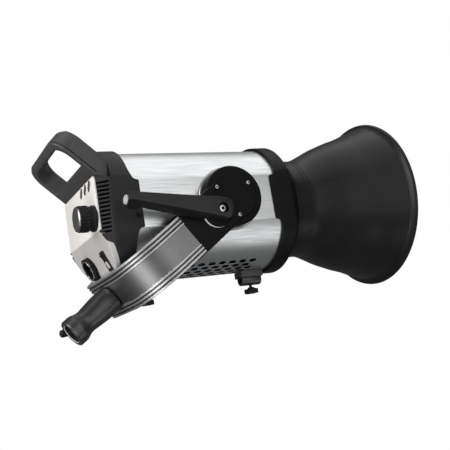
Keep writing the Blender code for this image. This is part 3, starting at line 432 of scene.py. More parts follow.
def smooth_line(points, count):
    """Points along a smooth curve that passes through the given ones."""
    ends = [points[0], *points, points[-1]]
    line = []
    for a, b, c, d in zip(ends, ends[1:], ends[2:], ends[3:]):
        for i in range(count):
            t = i / count
            pull = ((2 * t * t - t - t**3) / 2, (2 - 5 * t * t + 3 * t**3) / 2)
            pull += ((t + 4 * t * t - 3 * t**3) / 2, (t**3 - t * t) / 2)
            line.append(tuple(sum(w * v for w, v in zip(pull, values)) for values in zip(a, b, c, d)))
    return line + [points[-1]]


# Body: covers, bezel and rear casing


def make_cover(name, low, high, material):
    start, end = REAR_SEAM_X - 0.004, FRONT_SEAM_X + 0.004
    cover = solid(name, shape((body_outline(BODY_RADIUS, BODY_FLAT), start, end, "X")), material)
    inner = body_outline(BODY_RADIUS - COVER_WALL, BODY_FLAT - COVER_WALL)
    # The cover's inner faces get the near-black knob finish: painted shade inside the shell.
    combine(cover, shape((inner, start - 0.01, end + 0.01, "X")), material=KNOB)
    return combine(cover, shape((rectangle(-0.1, 0.1, low, high), start - 0.01, end + 0.01, "X")))


def make_covers():
    upper = make_cover("upper_cover_skin", -0.1, PARTING_Z, BRUSHED)
    combine(upper, round_shape(disc(AXLE_RADIUS + GAP, -0.09, 0.09), axis_frame((0, 0, 0), (0, 1, 0))))
    stands_for(upper, "head", "brushed_aluminium", "upper_cover")
    lower = make_cover("lower_cover_skin", PARTING_Z - GAP, 0.1, BRUSHED)
    # The vent walls get the near-black knob finish: painted shade in the vent holes.
    combine(lower, vent_shape(), material=KNOB)
    stands_for(lower, "head", "brushed_aluminium", "lower_cover")


def vent_shape():
    """Staggered rows of oval vents along the underside."""
    rows, columns, pitch, spread, middle = 10, 10, 0.0147, 27.0, -0.024
    bm = bmesh.new()
    for row in range(rows):
        angle = math.radians(270 + spread * (row / (rows - 1) * 2 - 1))
        out = Vector((0, math.cos(angle), math.sin(angle)))
        for column in range(columns - row % 2):
            place = axis_frame(out * (BODY_RADIUS - 0.008), out, (1, 0, 0))
            place.translation.x += pitch * (column - (columns - 1) / 2 + 0.5 * (row % 2)) + middle
            add_prism(bm, slot_outline(0.0102, 0.0066, 6), 0, 0.012, "Z", place)
    return bm


def seam_line(x_round, x_flat):
    """The edge of a moulded end, seen from the side: an S from the round to the tab on the flat."""
    reach = x_flat - x_round
    top = [(x_round, 0.12), (x_round, 0.052), (x_round + reach * 0.08, 0.0405)]
    top += [(x_round + reach * 0.26, 0.0328), (x_round + reach * 0.6, 0.0297)]
    line = smooth_line(top, 6) + [(x_flat - reach * 0.08, 0.0288), (x_flat, 0.0278)]
    return line + [(x, -z) for x, z in reversed(line)]


def seam_shape(x_round, x_flat, x_beyond):
    outline = [(x_beyond, 0.12), *seam_line(x_round, x_flat), (x_beyond, -0.12)]
    return shape((outline, -0.12, 0.12, "Y"))


REAR_SECTIONS = [
    (-0.1668, 0.0757, 0.0674),
    (-0.153, 0.0838, 0.0767),
    (-0.15, 0.0853, 0.0784),
    (-0.146, 0.0859, 0.079),
    (REAR_SEAM_X + SEAM_TAB, CASING_RADIUS, CASING_FLAT),
]
PANEL_X, PANEL_THICK = -0.1638, 0.0027
PANEL_TOP, PANEL_BOTTOM = 0.039, -0.0265
FACET_THICK = 0.0055
FACET_TOP = Vector((-0.1616, 0, -0.0247))
FACET_BOTTOM = Vector((-0.1416, 0, -0.0694))
HANDLE_FRONT = -0.148


def facet_frame(y, along=0.5):
    """On the sloping panel's inner face: Z points out of it, and X up along it."""
    up = (FACET_TOP - FACET_BOTTOM).normalized()
    out = Vector((-up.z, 0, up.x))
    point = FACET_BOTTOM.lerp(FACET_TOP, along)
    return axis_frame((point.x, y, point.z), out, up)


def rear_outline():
    """Side view of the rear casing: open to the handle at the top, and to the panels behind."""
    front, rear = REAR_SEAM_X + SEAM_TAB, PANEL_X + GAP
    outer = HEAD.inverted() @ (facet_frame(0, 0) @ Vector((0, 0, FACET_THICK)))
    corner = HEAD.inverted() @ (facet_frame(0, 1.0) @ Vector((0, 0, FACET_THICK)))
    return [
        (front, -0.1), (front, 0.1), (HANDLE_FRONT + 2 * GAP, 0.1), (HANDLE_FRONT + 2 * GAP, 0.0333),
        (rear, PANEL_TOP), (rear, PANEL_BOTTOM - GAP), (corner.x, PANEL_BOTTOM - GAP),
        (outer.x, outer.z), (-0.127, -0.0865), (-0.127, -0.1),
    ]


def connector_outline(grow, foot):
    side = [(0.05, 0.0534 + grow), (-0.006, 0.0745 + grow), (-0.0065, foot), (-0.05, foot)]
    return [(along, -half) for along, half in side] + [(along, half) for along, half in reversed(side)]


def cooling_slots():
    """Thirteen slots down each side, open towards the rear."""
    top, pitch, width, corner, rear = 0.0275, 0.0049, 0.0027, 0.0008, -0.18
    bm = bmesh.new()
    for sign in SIDES.values():
        low, high = sorted((sign * 0.0645, sign * (CASING_FLAT + 0.01)))
        for i in range(13):
            z, front = top - pitch * i, -0.1505 - 0.0003 * i
            outline = [(rear, z), (front - corner, z), (front, z + corner)]
            outline += [(front, z + width - corner), (front - corner, z + width), (rear, z + width)]
            add_prism(bm, outline, low, high, "Y")
    return bm


def make_rear_casing():
    casing = solid("rear_casing_skin", loft(REAR_SECTIONS), CASING)
    combine(casing, shape((rear_outline(), -0.12, 0.12, "Y")), "INTERSECT")
    lip = body_outline(BODY_RADIUS + GAP, BODY_FLAT + GAP)
    combine(casing, shape((lip, REAR_SEAM_X - 0.0045, -0.05, "X")))
    combine(casing, shape((body_outline(0.074, 0.071), -0.1445, -0.1, "X")))
    combine(casing, seam_shape(REAR_SEAM_X, REAR_SEAM_X + SEAM_TAB, -0.05))
    combine(casing, shape((connector_outline(GAP, 0.1), 0, 0.03, "Z", facet_frame(0))))
    combine(casing, cooling_slots())
    pockets = shape((rectangle(-0.059, 0.05, -0.0195, 0.0375), -0.18, -0.13, "X"),
                    (rectangle(-0.047, 0.041, -0.0668, -0.035), -0.18, -0.13, "X"))
    combine(casing, pockets)
    stands_for(casing, "head", "black_moulding", "rear_casing")


def make_front_bezel():
    sections = [
        (FRONT_SEAM_X - SEAM_TAB, CASING_RADIUS, CASING_FLAT),
        (0.0915, CASING_RADIUS + 0.0007, CASING_FLAT + 0.0005),
        (0.0935, CASING_RADIUS + 0.0006, CASING_FLAT + 0.0004),
        (0.095, CASING_RADIUS - 0.0008, CASING_FLAT),
        (0.103, 0.076, 0.0744),
        (0.1045, 0.0745, 0.0738),
    ]
    bezel = solid("front_bezel_skin", loft(sections), BEZEL)
    lip = body_outline(BODY_RADIUS + GAP, BODY_FLAT + GAP)
    combine(bezel, shape((lip, 0, FRONT_SEAM_X + 0.0045, "X")))
    combine(bezel, round_shape(disc(0.0705, 0.05, 0.12), FORWARD, 128))
    combine(bezel, seam_shape(FRONT_SEAM_X, FRONT_SEAM_X - SEAM_TAB, 0))
    stands_for(bezel, "head", "black_moulding", "front_bezel")


# Handle, panels and controls

HANDLE_FOOT = Vector((-0.165, 0, 0.038))
HANDLE_RISE = Vector((-0.725, 0, 0.689)).normalized()
HANDLE_DEEP = Vector((0.689, 0, 0.725)).normalized()
HANDLE_HALF, HANDLE_TOP = 0.0695, 0.0655


def handle_point(rise, deep):
    point = HANDLE_FOOT + HANDLE_RISE * rise + HANDLE_DEEP * deep
    return (point.x, point.z)


def handle_loop(inset, corner, foot, top_inset=None):
    """The handle's outline, seen square to its opening, moved inwards by inset."""
    half_width = HANDLE_HALF - inset
    top = HANDLE_TOP - (inset if top_inset is None else top_inset)
    right = arc((half_width - corner, top - corner), corner, 0, 90, 16)
    left = arc((corner - half_width, top - corner), corner, 90, 180, 16)
    return [(half_width, foot), *right, *left, (-half_width, foot)]


def across_handle(outline, low=-0.05, high=0.1):
    """A shape from an outline seen square to the handle's opening."""
    place = Matrix((Vector((0, 1, 0)), HANDLE_RISE, HANDLE_DEEP)).transposed().to_4x4()
    place.translation = HANDLE_FOOT
    return shape((outline, low, high, "Z", HEAD @ place))


def make_carry_handle():
    foot, under = (HANDLE_FRONT, 0.0338), handle_point(0, 0.002)
    side = [foot, (HANDLE_FRONT, 0.0577), handle_point(0.058, 0.026), handle_point(0.07, 0.02)]
    side += [handle_point(0.07, 0.006), handle_point(0.06, 0.002), under]
    # The loop and its hood take the lighter handle moulding: painted light.
    handle = solid("carry_handle_loop", shape((side, -HANDLE_HALF, HANDLE_HALF, "Y")), HANDLE)
    combine(handle, across_handle(handle_loop(0, 0.027, -0.05)), "INTERSECT")
    combine(handle, across_handle(handle_loop(0.008, 0.02, 0.0188, 0.011)))
    rounded(handle, 0.0016)
    hood = [foot, (HANDLE_FRONT, 0.1), (HANDLE_FRONT - 0.0005, 0.1)]
    hood += [handle_point(0.019, 0.06), handle_point(0.019, 0.003), under]
    back = solid("hood", shape((body_outline(CASING_RADIUS - 0.0008, 0.0691), -0.2, -0.1, "X")), HANDLE)
    combine(back, shape((hood, -0.1, 0.1, "Y")), "INTERSECT")
    combine(handle, taken(back), "UNION", HANDLE)
    # The groove's faces get the near-black knob finish: painted shade in the groove.
    groove = solid("groove", across_handle(handle_loop(-0.002, 0.029, 0.001), 0.005, 0.0062), KNOB)
    combine(groove, across_handle(handle_loop(0.0013, 0.0257, -0.01), 0, 0.01), material=KNOB)
    combine(handle, taken(groove), material=KNOB)
    stands_for(handle, "head", "black_moulding", "carry_handle")


DIAL_Y, DIAL_Z = -0.0525, -0.0095
BUTTON_Z = 0.0315
BUTTON_Y = (-0.0485, -0.0315, -0.0145)
BUTTON_LEAN = math.radians(40)
INLET_Y, INLET_ALONG = 0.0225, 0.345
SWITCH_Y, SWITCH_ALONG = -0.0355, 0.31


def button_frame(y):
    along = Vector((0, -math.sin(BUTTON_LEAN), math.cos(BUTTON_LEAN)))
    return axis_frame((PANEL_X, y, BUTTON_Z), (-1, 0, 0), along)


def make_rear_panel():
    outline = body_outline(0.0757, 0.0674)
    panel = solid("rear_panel_face", shape((outline, PANEL_X - PANEL_THICK, PANEL_X, "X")), PANEL)
    combine(panel, shape((rectangle(-0.1, 0.1, PANEL_BOTTOM, PANEL_TOP), -0.2, -0.1, "X")), "INTERSECT")
    rounded(panel, 0.0007, 2)
    bm = round_shape(disc(0.0045, -0.02, 0.02), axis_frame((PANEL_X, DIAL_Y, DIAL_Z), (1, 0, 0)))
    for y in BUTTON_Y:
        add_prism(bm, slot_outline(0.0118, 0.0046), -0.02, 0.02, "Z", button_frame(y))
    combine(panel, bm)
    stands_for(panel, "head", "grey_panel", "rear_panel")


def make_connector_panel():
    place = facet_frame(0)
    half = (FACET_TOP - FACET_BOTTOM).length / 2
    bm = shape((rectangle(-half, half, -0.09, 0.09), GAP, FACET_THICK, "Z", place))
    panel = solid("connector_panel_face", bm, PANEL_PAINTED_SHADE)
    combine(panel, loft(REAR_SECTIONS), "INTERSECT")
    combine(panel, shape((rectangle(-0.2, 0, -0.1, PANEL_BOTTOM - GAP), -0.1, 0.1, "Y")), "INTERSECT")
    combine(panel, shape((connector_outline(0, 0.0746), -0.02, 0.02, "Z", place)), "INTERSECT")
    bm = round_shape(disc(0.0125, -0.02, 0.02), facet_frame(INLET_Y, INLET_ALONG))
    opening = rectangle(-0.0108, 0.0108, -0.0048, 0.0048)
    add_prism(bm, opening, -0.02, 0.02, "Z", facet_frame(SWITCH_Y, SWITCH_ALONG))
    combine(panel, bm)
    stands_for(panel, "head", "grey_panel", "connector_panel")


def knob_outline(radius, flutes, depth, count=8):
    """A knob's outline with soft flutes."""
    points = []
    for i in range(flutes * count):
        angle = 2 * math.pi * i / (flutes * count)
        r = radius - depth * (0.5 - 0.5 * math.cos(angle * flutes)) ** 1.5
        points.append((r * math.cos(angle), r * math.sin(angle)))
    return points


def knob_shape(radius, flutes, depth, levels, place):
    """A fluted knob from (height, inset) levels."""
    rows = []
    for height, inset in levels:
        outline = knob_outline(radius - inset, flutes, max(depth - inset * 0.5, 0))
        rows.append([place @ Vector((x, y, height)) for x, y in outline])
    return skinned(rows)


def make_power_dial():
    out = axis_frame((PANEL_X - PANEL_THICK, DIAL_Y, DIAL_Z), (-1, 0, 0))
    collar = [(0, GAP), (0.0158, GAP), (0.0158, 0.0036), (0.0155, 0.004), (0.0148, 0.0042)]
    collar += [(0.0145, 0.0047), (0.0145, 0.0083), (0, 0.0083)]
    stands_for(turned("dial_collar_ring", collar, KNOB, out), "head", "black_knob", "dial_collar")
    levels = [(0.0087, 0.0006), (0.0092, 0), (0.0198, 0.0002), (0.0202, 0.0004), (0.0205, 0.0009)]
    knob = solid("power_dial_knob", knob_shape(0.016, 24, 0.0008, levels, out), KNOB)
    stands_for(knob, "dial", "black_knob", "power_dial")
    cap = [(0, 0.0208), (0.015, 0.0208), (0.015, 0.0217), (0.0146, 0.0222), (0.0134, 0.0229)]
    cap += [(0.0128, 0.023), (0.0122, 0.0228), (0, 0.0226)]
    stands_for(turned("dial_cap_face", cap, SILVER, out), "dial", "silver_cap", "dial_cap")


def make_buttons():
    levels = [(-0.004, 0), (PANEL_THICK + 0.0004, 0), (PANEL_THICK + 0.0009, 0.0002)]
    levels += [(PANEL_THICK + 0.0012, 0.0007)]
    for number, y in enumerate(BUTTON_Y, 1):
        place = button_frame(y)
        rows = []
        for height, inset in levels:
            outline = slot_outline(0.0112 - 2 * inset, 0.004 - 2 * inset)
            rows.append([place @ Vector((a, b, height)) for a, b in outline])
        button = solid(f"panel_button_{number}_cap", skinned(rows), BUTTON)
        stands_for(button, f"button_{number}", "black_knob", f"panel_button_{number}")
        well = surround(f"button_well_{number}", (0.0146, 0.0084), (0.0119, 0.0047), 0.0005, BUTTON, place)
        stands_for(well, "head", "black_knob")
        ring = surround(f"button_ring_{number}", (0.0157, 0.0095), (0.0147, 0.0085), 0.0006, PALE_RIM_AND_HIGHLIGHT, place)
        stands_for(ring, "head", "grey_panel")


def surround(name, outer, inner, high, material, place):
    """A flat oval ring round a button, on the panel's face."""
    ring = shape((slot_outline(*outer), PANEL_THICK + 0.00002, PANEL_THICK + high, "Z", place))
    return combine(solid(name, ring, material), shape((slot_outline(*inner), 0, 0.01, "Z", place)))


def make_power_inlet():
    low, rim, radius = FACET_THICK + GAP, FACET_THICK + 0.0065, 0.0155
    seat = facet_frame(INLET_Y, INLET_ALONG)
    flange = [(0.0105, rim - 0.0006), (0.0105, -0.006), (0.0122, -0.006), (0.0122, low)]
    flange += [(radius, low), (radius, rim - 0.003)]
    turns = [math.radians(15 * i) for i in range(1, 7)]
    flange += [(radius - 0.0017 * (1 - math.cos(a)), rim - 0.003 * (1 - math.sin(a))) for a in turns]
    flange += [(0.0111, rim)]
    ring = turned("power_inlet_ring", flange, KNOB, seat)
    lugs = bmesh.new()
    for start in (0.0128, -0.0172):
        lug = rectangle(start, start + 0.0044, -0.0028, 0.0028)
        add_prism(lugs, lug, low, rim - 0.0012, "Z", seat @ Matrix.Rotation(0.6, 4, "Z"))
    combine(ring, lugs, "UNION", KNOB)
    stands_for(ring, "head", "black_knob", "power_inlet")
    shine = [(0.012, rim - 0.0012), (0.0133, rim - 0.0012), (0.0133, rim + 0.0004), (0.012, rim + 0.0004)]
    stands_for(turned("inlet_bright_ring", shine[::-1], STEEL, seat), "head", "bright_steel")
    core = turned("inlet_contact_block", disc(0.0102, -0.0055, 0.001, 0.0004), CASING, seat)
    stands_for(core, "head", "black_moulding", "inlet_contacts")
    pins = bmesh.new()
    for y, x in ((-0.0042, 0.0018), (0.0042, 0.0018), (0, -0.0034)):
        blade = rectangle(x - 0.0018, x + 0.0018, y - 0.0007, y + 0.0007)
        add_prism(pins, blade, 0.0005, 0.0062, "Z", seat)
    stands_for(solid("inlet_blades", pins, STEEL), "head", "bright_steel")


def make_switch():
    seat = facet_frame(SWITCH_Y, SWITCH_ALONG)
    outline = rectangle(-0.013, 0.013, -0.0066, 0.0066)
    plate = shape((outline, FACET_THICK + GAP, FACET_THICK + 0.0018, "Z", seat))
    plate = solid("switch_surround", plate, CASING)
    rounded(plate, 0.0005, 2)
    combine(plate, shape((rectangle(-0.0104, 0.0104, -0.0045, 0.0045), 0, 0.02, "Z", seat)))
    stands_for(plate, "head", "black_moulding", "switch_frame")
    top = FACET_THICK + 0.0022
    back = [(-0.0098, top - 0.0045), (0.0098, top - 0.0045), (0.0098, top + 0.0018), (0.006, top + 0.0008)]
    outline = back + [(0, top - 0.0002), (-0.006, top - 0.0007), (-0.0098, top - 0.001)]
    rocker = solid("rocker_switch_cap", shape((outline, -0.004, 0.004, "Y", seat)), KNOB)
    stands_for(rocker, "switch", "black_knob", "rocker_switch")
    mark = [(-0.0092, top - 0.00096), (-0.0092, top - 0.0007)]
    mark += [(-0.0008, top - 0.0001), (-0.0008, top - 0.0004)]
    patch = solid("rocker_switch_mark", shape((mark, -0.0034, 0.0034, "Y", seat)), SWITCH_LIGHT)
    stands_for(patch, "switch", "grey_panel")


def add_hex_recess(obj, place, width, depth, top):
    outline = arc((0, 0), width / math.sqrt(3), 0, 300, 5)
    # The recess walls get the near-black knob finish: painted shade in the recess, also inside the steel
    # screw heads.
    return combine(obj, shape((outline, top - depth, top + 0.01, "Z", place)), material=KNOB)


def make_casing_screws():
    for side, sign in SIDES.items():
        seat = axis_frame((-0.1215, sign * CASING_FLAT, -0.0145), (0, sign, 0))
        head = turned(f"casing_screw_{side}_head", disc(0.0027, GAP, 0.0014, 0.0005), CASTING, seat, 32)
        add_hex_recess(head, seat, 0.0024, 0.0008, 0.0014)
        stands_for(head, "head", "black_moulding", f"casing_screw_{side}")


def make_umbrella_holder(label, x):
    tube_z, tube_radius, bore, half = -0.0935, 0.0078, 0.0052, 0.0145
    along = axis_frame((x, 0, tube_z), (1, 0, 0))
    holder = turned(f"umbrella_holder_{label}_tube", disc(tube_radius, -half, half, 0.0007), SOCKET, along)
    saddle = rectangle(x - half - 0.0015, x + half + 0.0015, -0.0105, 0.0105)
    combine(holder, shape((saddle, -0.0905, -0.0805, "Z", HEAD)), "UNION", SOCKET)
    bm = round_shape(disc(bore, -0.03, 0.03), along)
    add_turned(bm, disc(BODY_RADIUS + GAP, x - 0.03, x + 0.03), 160, FORWARD)
    add_turned(bm, disc(0.0023, -0.02, 0), 32, axis_frame((x, 0, tube_z), (0, 0, 1)))
    combine(holder, bm)
    stands_for(holder, "head", "black_socket", f"umbrella_holder_{label}")
    place = axis_frame((x, 0, tube_z - tube_radius + 0.0035), (0, 0, -1))
    levels = [(0.0085, 0.0006), (0.0091, 0), (0.0139, 0), (0.0145, 0.0006)]
    screw = solid(f"umbrella_screw_{label}_knob", knob_shape(0.0095, 6, 0.002, levels, place), KNOB)
    shank = [(0, 0.0012), (0.002, 0.0012), (0.002, 0.006), (0.0045, 0.0065), (0.0045, 0.01), (0, 0.01)]
    combine(screw, round_shape(shank, place, 32), "UNION", KNOB)
    stands_for(screw, f"umbrella_screw_{label}", "black_knob", f"umbrella_screw_{label}")


# Light source, bayonet and reflector


def make_light_source():
    out = axis_frame((LAMP_PLATE_X, 0, 0), (1, 0, 0))
    base = [(0, GAP), (0.031, GAP), (0.031, 0.0108), (0.0304, 0.0119), (0.0284, 0.0128), (0.028, 0.013)]
    base += [(0.0112, 0.013), (0.0105, 0.0124), (0.0105, 0.006), (0, 0.006)]
    ceramic = turned("lamp_base_ring", base, CERAMIC, out, 96)
    radius, tube, lift = 0.0225, 0.0042, 0.03
    flash = turned("flash_tube_ring", arc((radius, lift), tube, 0, 345, 23), GLASS, out, 96)
    legs, pins = bmesh.new(), bmesh.new()
    for angle in (-12, 12):
        spot = out @ Matrix.Rotation(math.radians(angle + 180), 4, "Z") @ Matrix.Translation((radius, 0, 0))
        add_turned(legs, disc(0.0032, 0.0068, lift), 40, spot)
        add_turned(pins, disc(0.0036, 0.0062, 0.05), 40, spot)
    combine(flash, legs, "UNION", GLASS)
    combine(ceramic, pins)
    stands_for(flash, "head", "clear_glass", "flash_tube")
    stands_for(ceramic, "head", "white_ceramic", "lamp_base")
    bulb = [(0, 0.0065), (0.0095, 0.0065), (0.0095, 0.0185)]
    bulb += [(r, h) for h, r in arc((0.043, 0), 0.0135, 138, 0, 24)]
    bulb[-1] = (0, 0.0565)
    stands_for(turned("modelling_lamp_bulb", bulb, GLASS, out, 64), "head", "clear_glass", "modelling_lamp")


RING_BACK, RING_FRONT = 0.0905, 0.1045
LUG_START, LUG_TURN, LUG_SPAN = 3.0, 25.0, 24.0
BASE_X = 0.1052


def sector(inner, outer, start, end):
    return arc((0, 0), outer, start, end, 12) + arc((0, 0), inner, end, start, 12)


def make_bayonet_ring():
    section = [(0.0505, RING_FRONT), (0.0505, RING_FRONT - 0.003), (0.0575, RING_FRONT - 0.003)]
    section += [(0.0575, RING_BACK + 0.002), (0.0505, RING_BACK + 0.002), (0.0505, RING_BACK)]
    section += [(0.07, RING_BACK), (0.07, RING_FRONT - 0.0004), (0.0696, RING_FRONT)]
    ring = turned("bayonet_ring_body", section, STEEL, FORWARD, 120)
    bm = bmesh.new()
    for i in range(3):
        start = 120 * i + LUG_START + LUG_TURN - 3
        gap = sector(0.045, 0.0572, start, start + LUG_SPAN + 6)
        add_prism(bm, gap, RING_FRONT - 0.005, RING_FRONT + 0.01, "Z", FORWARD)
    combine(ring, bm)
    stands_for(ring, "head", "bright_steel", "bayonet_ring")


def bell_side():
    """Radius against X down the bell's outer side, from the neck to the lip."""
    knots = [(0.0675, 0.135), (0.0683, 0.141), (0.0712, 0.1505), (0.0775, 0.165), (0.0843, 0.18)]
    knots += [(0.0932, 0.205), (0.0988, 0.224), (0.1055, 0.2425), (0.1112, 0.2595)]
    return smooth_line(knots, 5)


def neck_side():
    """The neck's outer side: a raised band at the base, and two fine rings in front of it."""
    side = [(0.0655, BASE_X), (0.0669, BASE_X + 0.0006), (0.0675, BASE_X + 0.002)]
    for x in (0.1115, 0.1265, 0.1318):
        side += [(0.0675, x - 0.0006), (0.0669, x - 0.0002), (0.0669, x + 0.0002), (0.0675, x + 0.0006)]
    return side


def rolled_lip():
    start = [(MOUTH_RADIUS - 0.004, 0.2622), (MOUTH_RADIUS - 0.0014, 0.2632)]
    edge = arc((MOUTH_RADIUS - 0.0021, MOUTH_X - 0.0024), 0.0021, -20, 100, 10)
    return start + [(r, min(x, MOUTH_X)) for r, x in edge] + [(MOUTH_RADIUS - 0.0038, MOUTH_X - 0.0022)]


def make_reflector():
    wall = 0.0015
    bell = bell_side()
    inside = [(radius - wall, x) for radius, x in bell]
    neck = [(0.0655, BASE_X + 0.0028), (0.0495, BASE_X + 0.0028), (0.0495, BASE_X)]
    profile = neck_side() + bell + rolled_lip() + inside[::-1] + neck
    reflector = turned("reflector_bell", profile, BELL, FORWARD, 180)
    stems, hooks = bmesh.new(), bmesh.new()
    for i in range(3):
        start = 120 * i + LUG_START
        stem = sector(0.0472, 0.0499, start, start + LUG_SPAN)
        hook = sector(0.0478, 0.056, start, start + LUG_SPAN)
        add_prism(stems, stem, RING_BACK + 0.004, BASE_X + 0.002, "Z", FORWARD)
        add_prism(hooks, hook, RING_BACK + 0.0045, RING_BACK + 0.0085, "Z", FORWARD)
    combine(reflector, stems, "UNION", BELL)
    combine(reflector, hooks, "UNION", BELL)
    line_inside(reflector)
    stands_for(reflector, "reflector", "black_reflector", "reflector")


def line_inside(reflector):
    """Gives the bell's inner faces their silver finish."""
    reflector.data.materials.append(BELL_INSIDE)
    for face in reflector.data.polygons:
        centre = HEAD.inverted() @ face.center
        normal = face.normal
        inward = normal.y * centre.y + normal.z * centre.z < 0
        if centre.x > BASE_X + 0.004 and centre.x < MOUTH_X - 0.003 and inward:
            face.material_index = len(reflector.data.materials) - 1


def make_release_latch():
    angle = math.radians(42)
    out = Vector((0, math.cos(angle), math.sin(angle)))
    seat = axis_frame(out * (CASING_RADIUS + 0.0012), out, (1, 0, 0))
    seat.translation.x += 0.083
    ridge = [(-0.007, 0), (0.007, 0), (0.007, 0.0012), (0.0066, 0.0016), (0.0044, 0.0021)]
    ridge += [(0.0036, 0.0044), (0.003, 0.0048), (0, 0.0048), (-0.0006, 0.0044), (-0.001, 0.0024)]
    ridge += [(-0.0066, 0.0016), (-0.007, 0.0012)]
    latch = solid("release_latch_slider", shape((ridge, -0.006, 0.006, "Y", seat)), STEEL)
    stands_for(latch, "latch", "bright_steel", "release_latch")


# Yoke, hub and stand socket


def yoke_path(count):
    """The bar's outer line as (y, z, normal angle), from one casting round to the other."""
    side, bottom, start = YOKE_OUTSIDE, -YOKE_DROP, -CASTING_REACH - GAP
    stations = [(-side, start, 180.0)]
    for i in range(count + 1):
        angle = 180 + 90 * i / count
        y = -side + YOKE_BEND + YOKE_BEND * math.cos(math.radians(angle))
        stations.append((y, bottom + YOKE_BEND + YOKE_BEND * math.sin(math.radians(angle)), angle))
    return stations + [(-y, z, 540.0 - angle) for y, z, angle in reversed(stations)]


def bar_section():
    """The ribbed bar's cross-section as (across, depth) points, depth inwards from the outer face."""
    half, groove, width = BAR_WIDTH / 2, 0.0012, 0.0026
    right = []
    for offset in (0, 0.0045, 0.009):
        right += [(half - offset, 0.0003 if offset else 0.0006), (half - offset - 0.0004, 0)]
        right += [(half - offset - width + 0.0003, 0), (half - offset - width, 0.0003)]
        right += [(half - offset - width - 0.0004, groove), (half - offset - 0.0042, groove)]
    outer = right + [(-x, depth) for x, depth in reversed(right)]
    left = [(-half, BAR_THICK - 0.0006), (0.0006 - half, BAR_THICK)]
    return outer + left + [(-x, depth) for x, depth in reversed(left)]


def paint_rib_light_and_shade(bar):
    """Paints the rib tops and the bar's outer edges brighter, worn bare metal and a painted highlight
    together, and the grooves between them darker as painted shade.
    """
    bar.data.materials.append(RIB_WEAR_AND_HIGHLIGHT)
    bar.data.materials.append(GROOVE_SHADE)
    across = YOKE.to_3x3() @ Vector((1.0, 0, 0))
    for face in bar.data.polygons:
        offset = abs(across.dot(face.center - TILT_AXIS))
        groove = any(abs(offset - edge) < 0.0011 for edge in (0.0226, 0.0181, 0.0136))
        if offset > 0.014:
            face.material_index = 2 if groove else 1


def make_yoke_bar():
    rows = []
    for y, z, angle in yoke_path(28):
        normal = Vector((0, math.cos(math.radians(angle)), math.sin(math.radians(angle))))
        rows.append([YOKE @ (Vector((x, y, z)) - normal * depth) for x, depth in bar_section()])
    bar = solid("yoke_bar_profile", skinned(rows), EXTRUDED)
    paint_rib_light_and_shade(bar)
    combine(bar, round_shape(disc(0.0054, -0.19, -0.15), YOKE, 32))
    stands_for(bar, "yoke", "extruded_aluminium", "yoke_bar")


def side_frame(sign, parent=YOKE):
    """Z points out of the lamp's side, and X points down the yoke arm."""
    return axis_frame((0, 0, 0), (0, sign, 0), (0, 0, -1), parent)


def make_yoke_end(side, sign):
    place = side_frame(sign)
    rim = [(0, HUB_INNER), (HUB_RADIUS - 0.0012, HUB_INNER), (HUB_RADIUS, HUB_INNER + 0.0012)]
    rim += [(HUB_RADIUS - 0.002 + r, HUB_FACE - 0.002 + h) for r, h in arc((0, 0), 0.002, 0, 90, 5)]
    rim += [(0.0335, HUB_FACE), (0.0331, HUB_FACE - 0.0005), (0.0323, HUB_FACE - 0.0005)]
    rim += [(0.0319, HUB_FACE), (0, HUB_FACE)]
    casting = turned(f"yoke_end_{side}_casting", rim, CASTING, place, 120)
    half = 0.028
    outline = rectangle(0.012, CASTING_REACH, -half, half)
    arm = solid("arm", shape((outline, ARM_INNER, ARM_FACE, "Z", place)), CASTING)
    combine(casting, taken(rounded(arm, 0.0016)), "UNION", CASTING)
    tongue_top = YOKE_OUTSIDE - BAR_THICK - GAP
    tongue = rectangle(0.07, 0.0905, -half - 0.001, half + 0.001)
    combine(casting, shape((tongue, ARM_INNER + 0.0005, tongue_top, "Z", place)), "UNION", CASTING)
    cap, head, bolt = CAP_RADIUS + GAP, 0.011, AXLE_RADIUS + GAP
    cap_floor, head_floor = HUB_FACE - 0.0036, HUB_FACE - 0.0086
    steps = [(0, 0.05), (bolt, 0.05), (bolt, head_floor), (head, head_floor), (head, cap_floor)]
    steps += [(cap, cap_floor), (cap, 0.12), (0, 0.12)]
    combine(casting, round_shape(steps, place, 96))
    stands_for(casting, "yoke", "black_casting", f"yoke_end_{side}")


def make_hub_cap(side, sign):
    low, high = HUB_FACE - 0.0033, HUB_FACE + 0.0009
    profile = [(0, low), (CAP_RADIUS, low), (CAP_RADIUS, high - 0.0008), (CAP_RADIUS - 0.0008, high)]
    profile += [(CAP_RADIUS - 0.0024, high), (CAP_RADIUS - 0.003, high - 0.0004), (0, high - 0.0004)]
    cap = turned(f"hub_cap_{side}_disc", profile, CASTING, side_frame(sign), 120)
    start = math.radians(155) if sign < 0 else math.radians(25)
    holes = bmesh.new()
    for index in range(3):
        angle = start - math.radians(120) * index
        point = Vector((0.0255 * math.cos(angle), sign * (high - 0.0012), 0.0255 * math.sin(angle)))
        seat = axis_frame(point, (0, sign, 0))
        name = f"cap_screw_{side}_{index + 1}"
        screw = turned(f"{name}_head", disc(0.0023, GAP, 0.0017, 0.0003), STEEL, seat, 32)
        add_hex_recess(screw, seat, 0.0024, 0.0009, 0.0017)
        stands_for(screw, "yoke", "bright_steel", name)
        add_turned(holes, disc(0.0026, 0, 0.01), 32, seat)
    combine(cap, holes)
    stands_for(cap, "yoke", "black_casting", f"hub_cap_{side}")


def make_tilt_joint(side, sign):
    place = side_frame(sign)
    low = BODY_FLAT + GAP
    boss = [(0.0405, low), (0.0405, HUB_INNER - GAP - 0.0006), (0.0399, HUB_INNER - GAP)]
    boss += [(AXLE_RADIUS + GAP, HUB_INNER - GAP), (AXLE_RADIUS + GAP, low)]
    boss = turned(f"tilt_boss_{side}_ring", boss, SILVER, place, 120)
    stands_for(boss, "head", "silver_cap", f"tilt_boss_{side}")


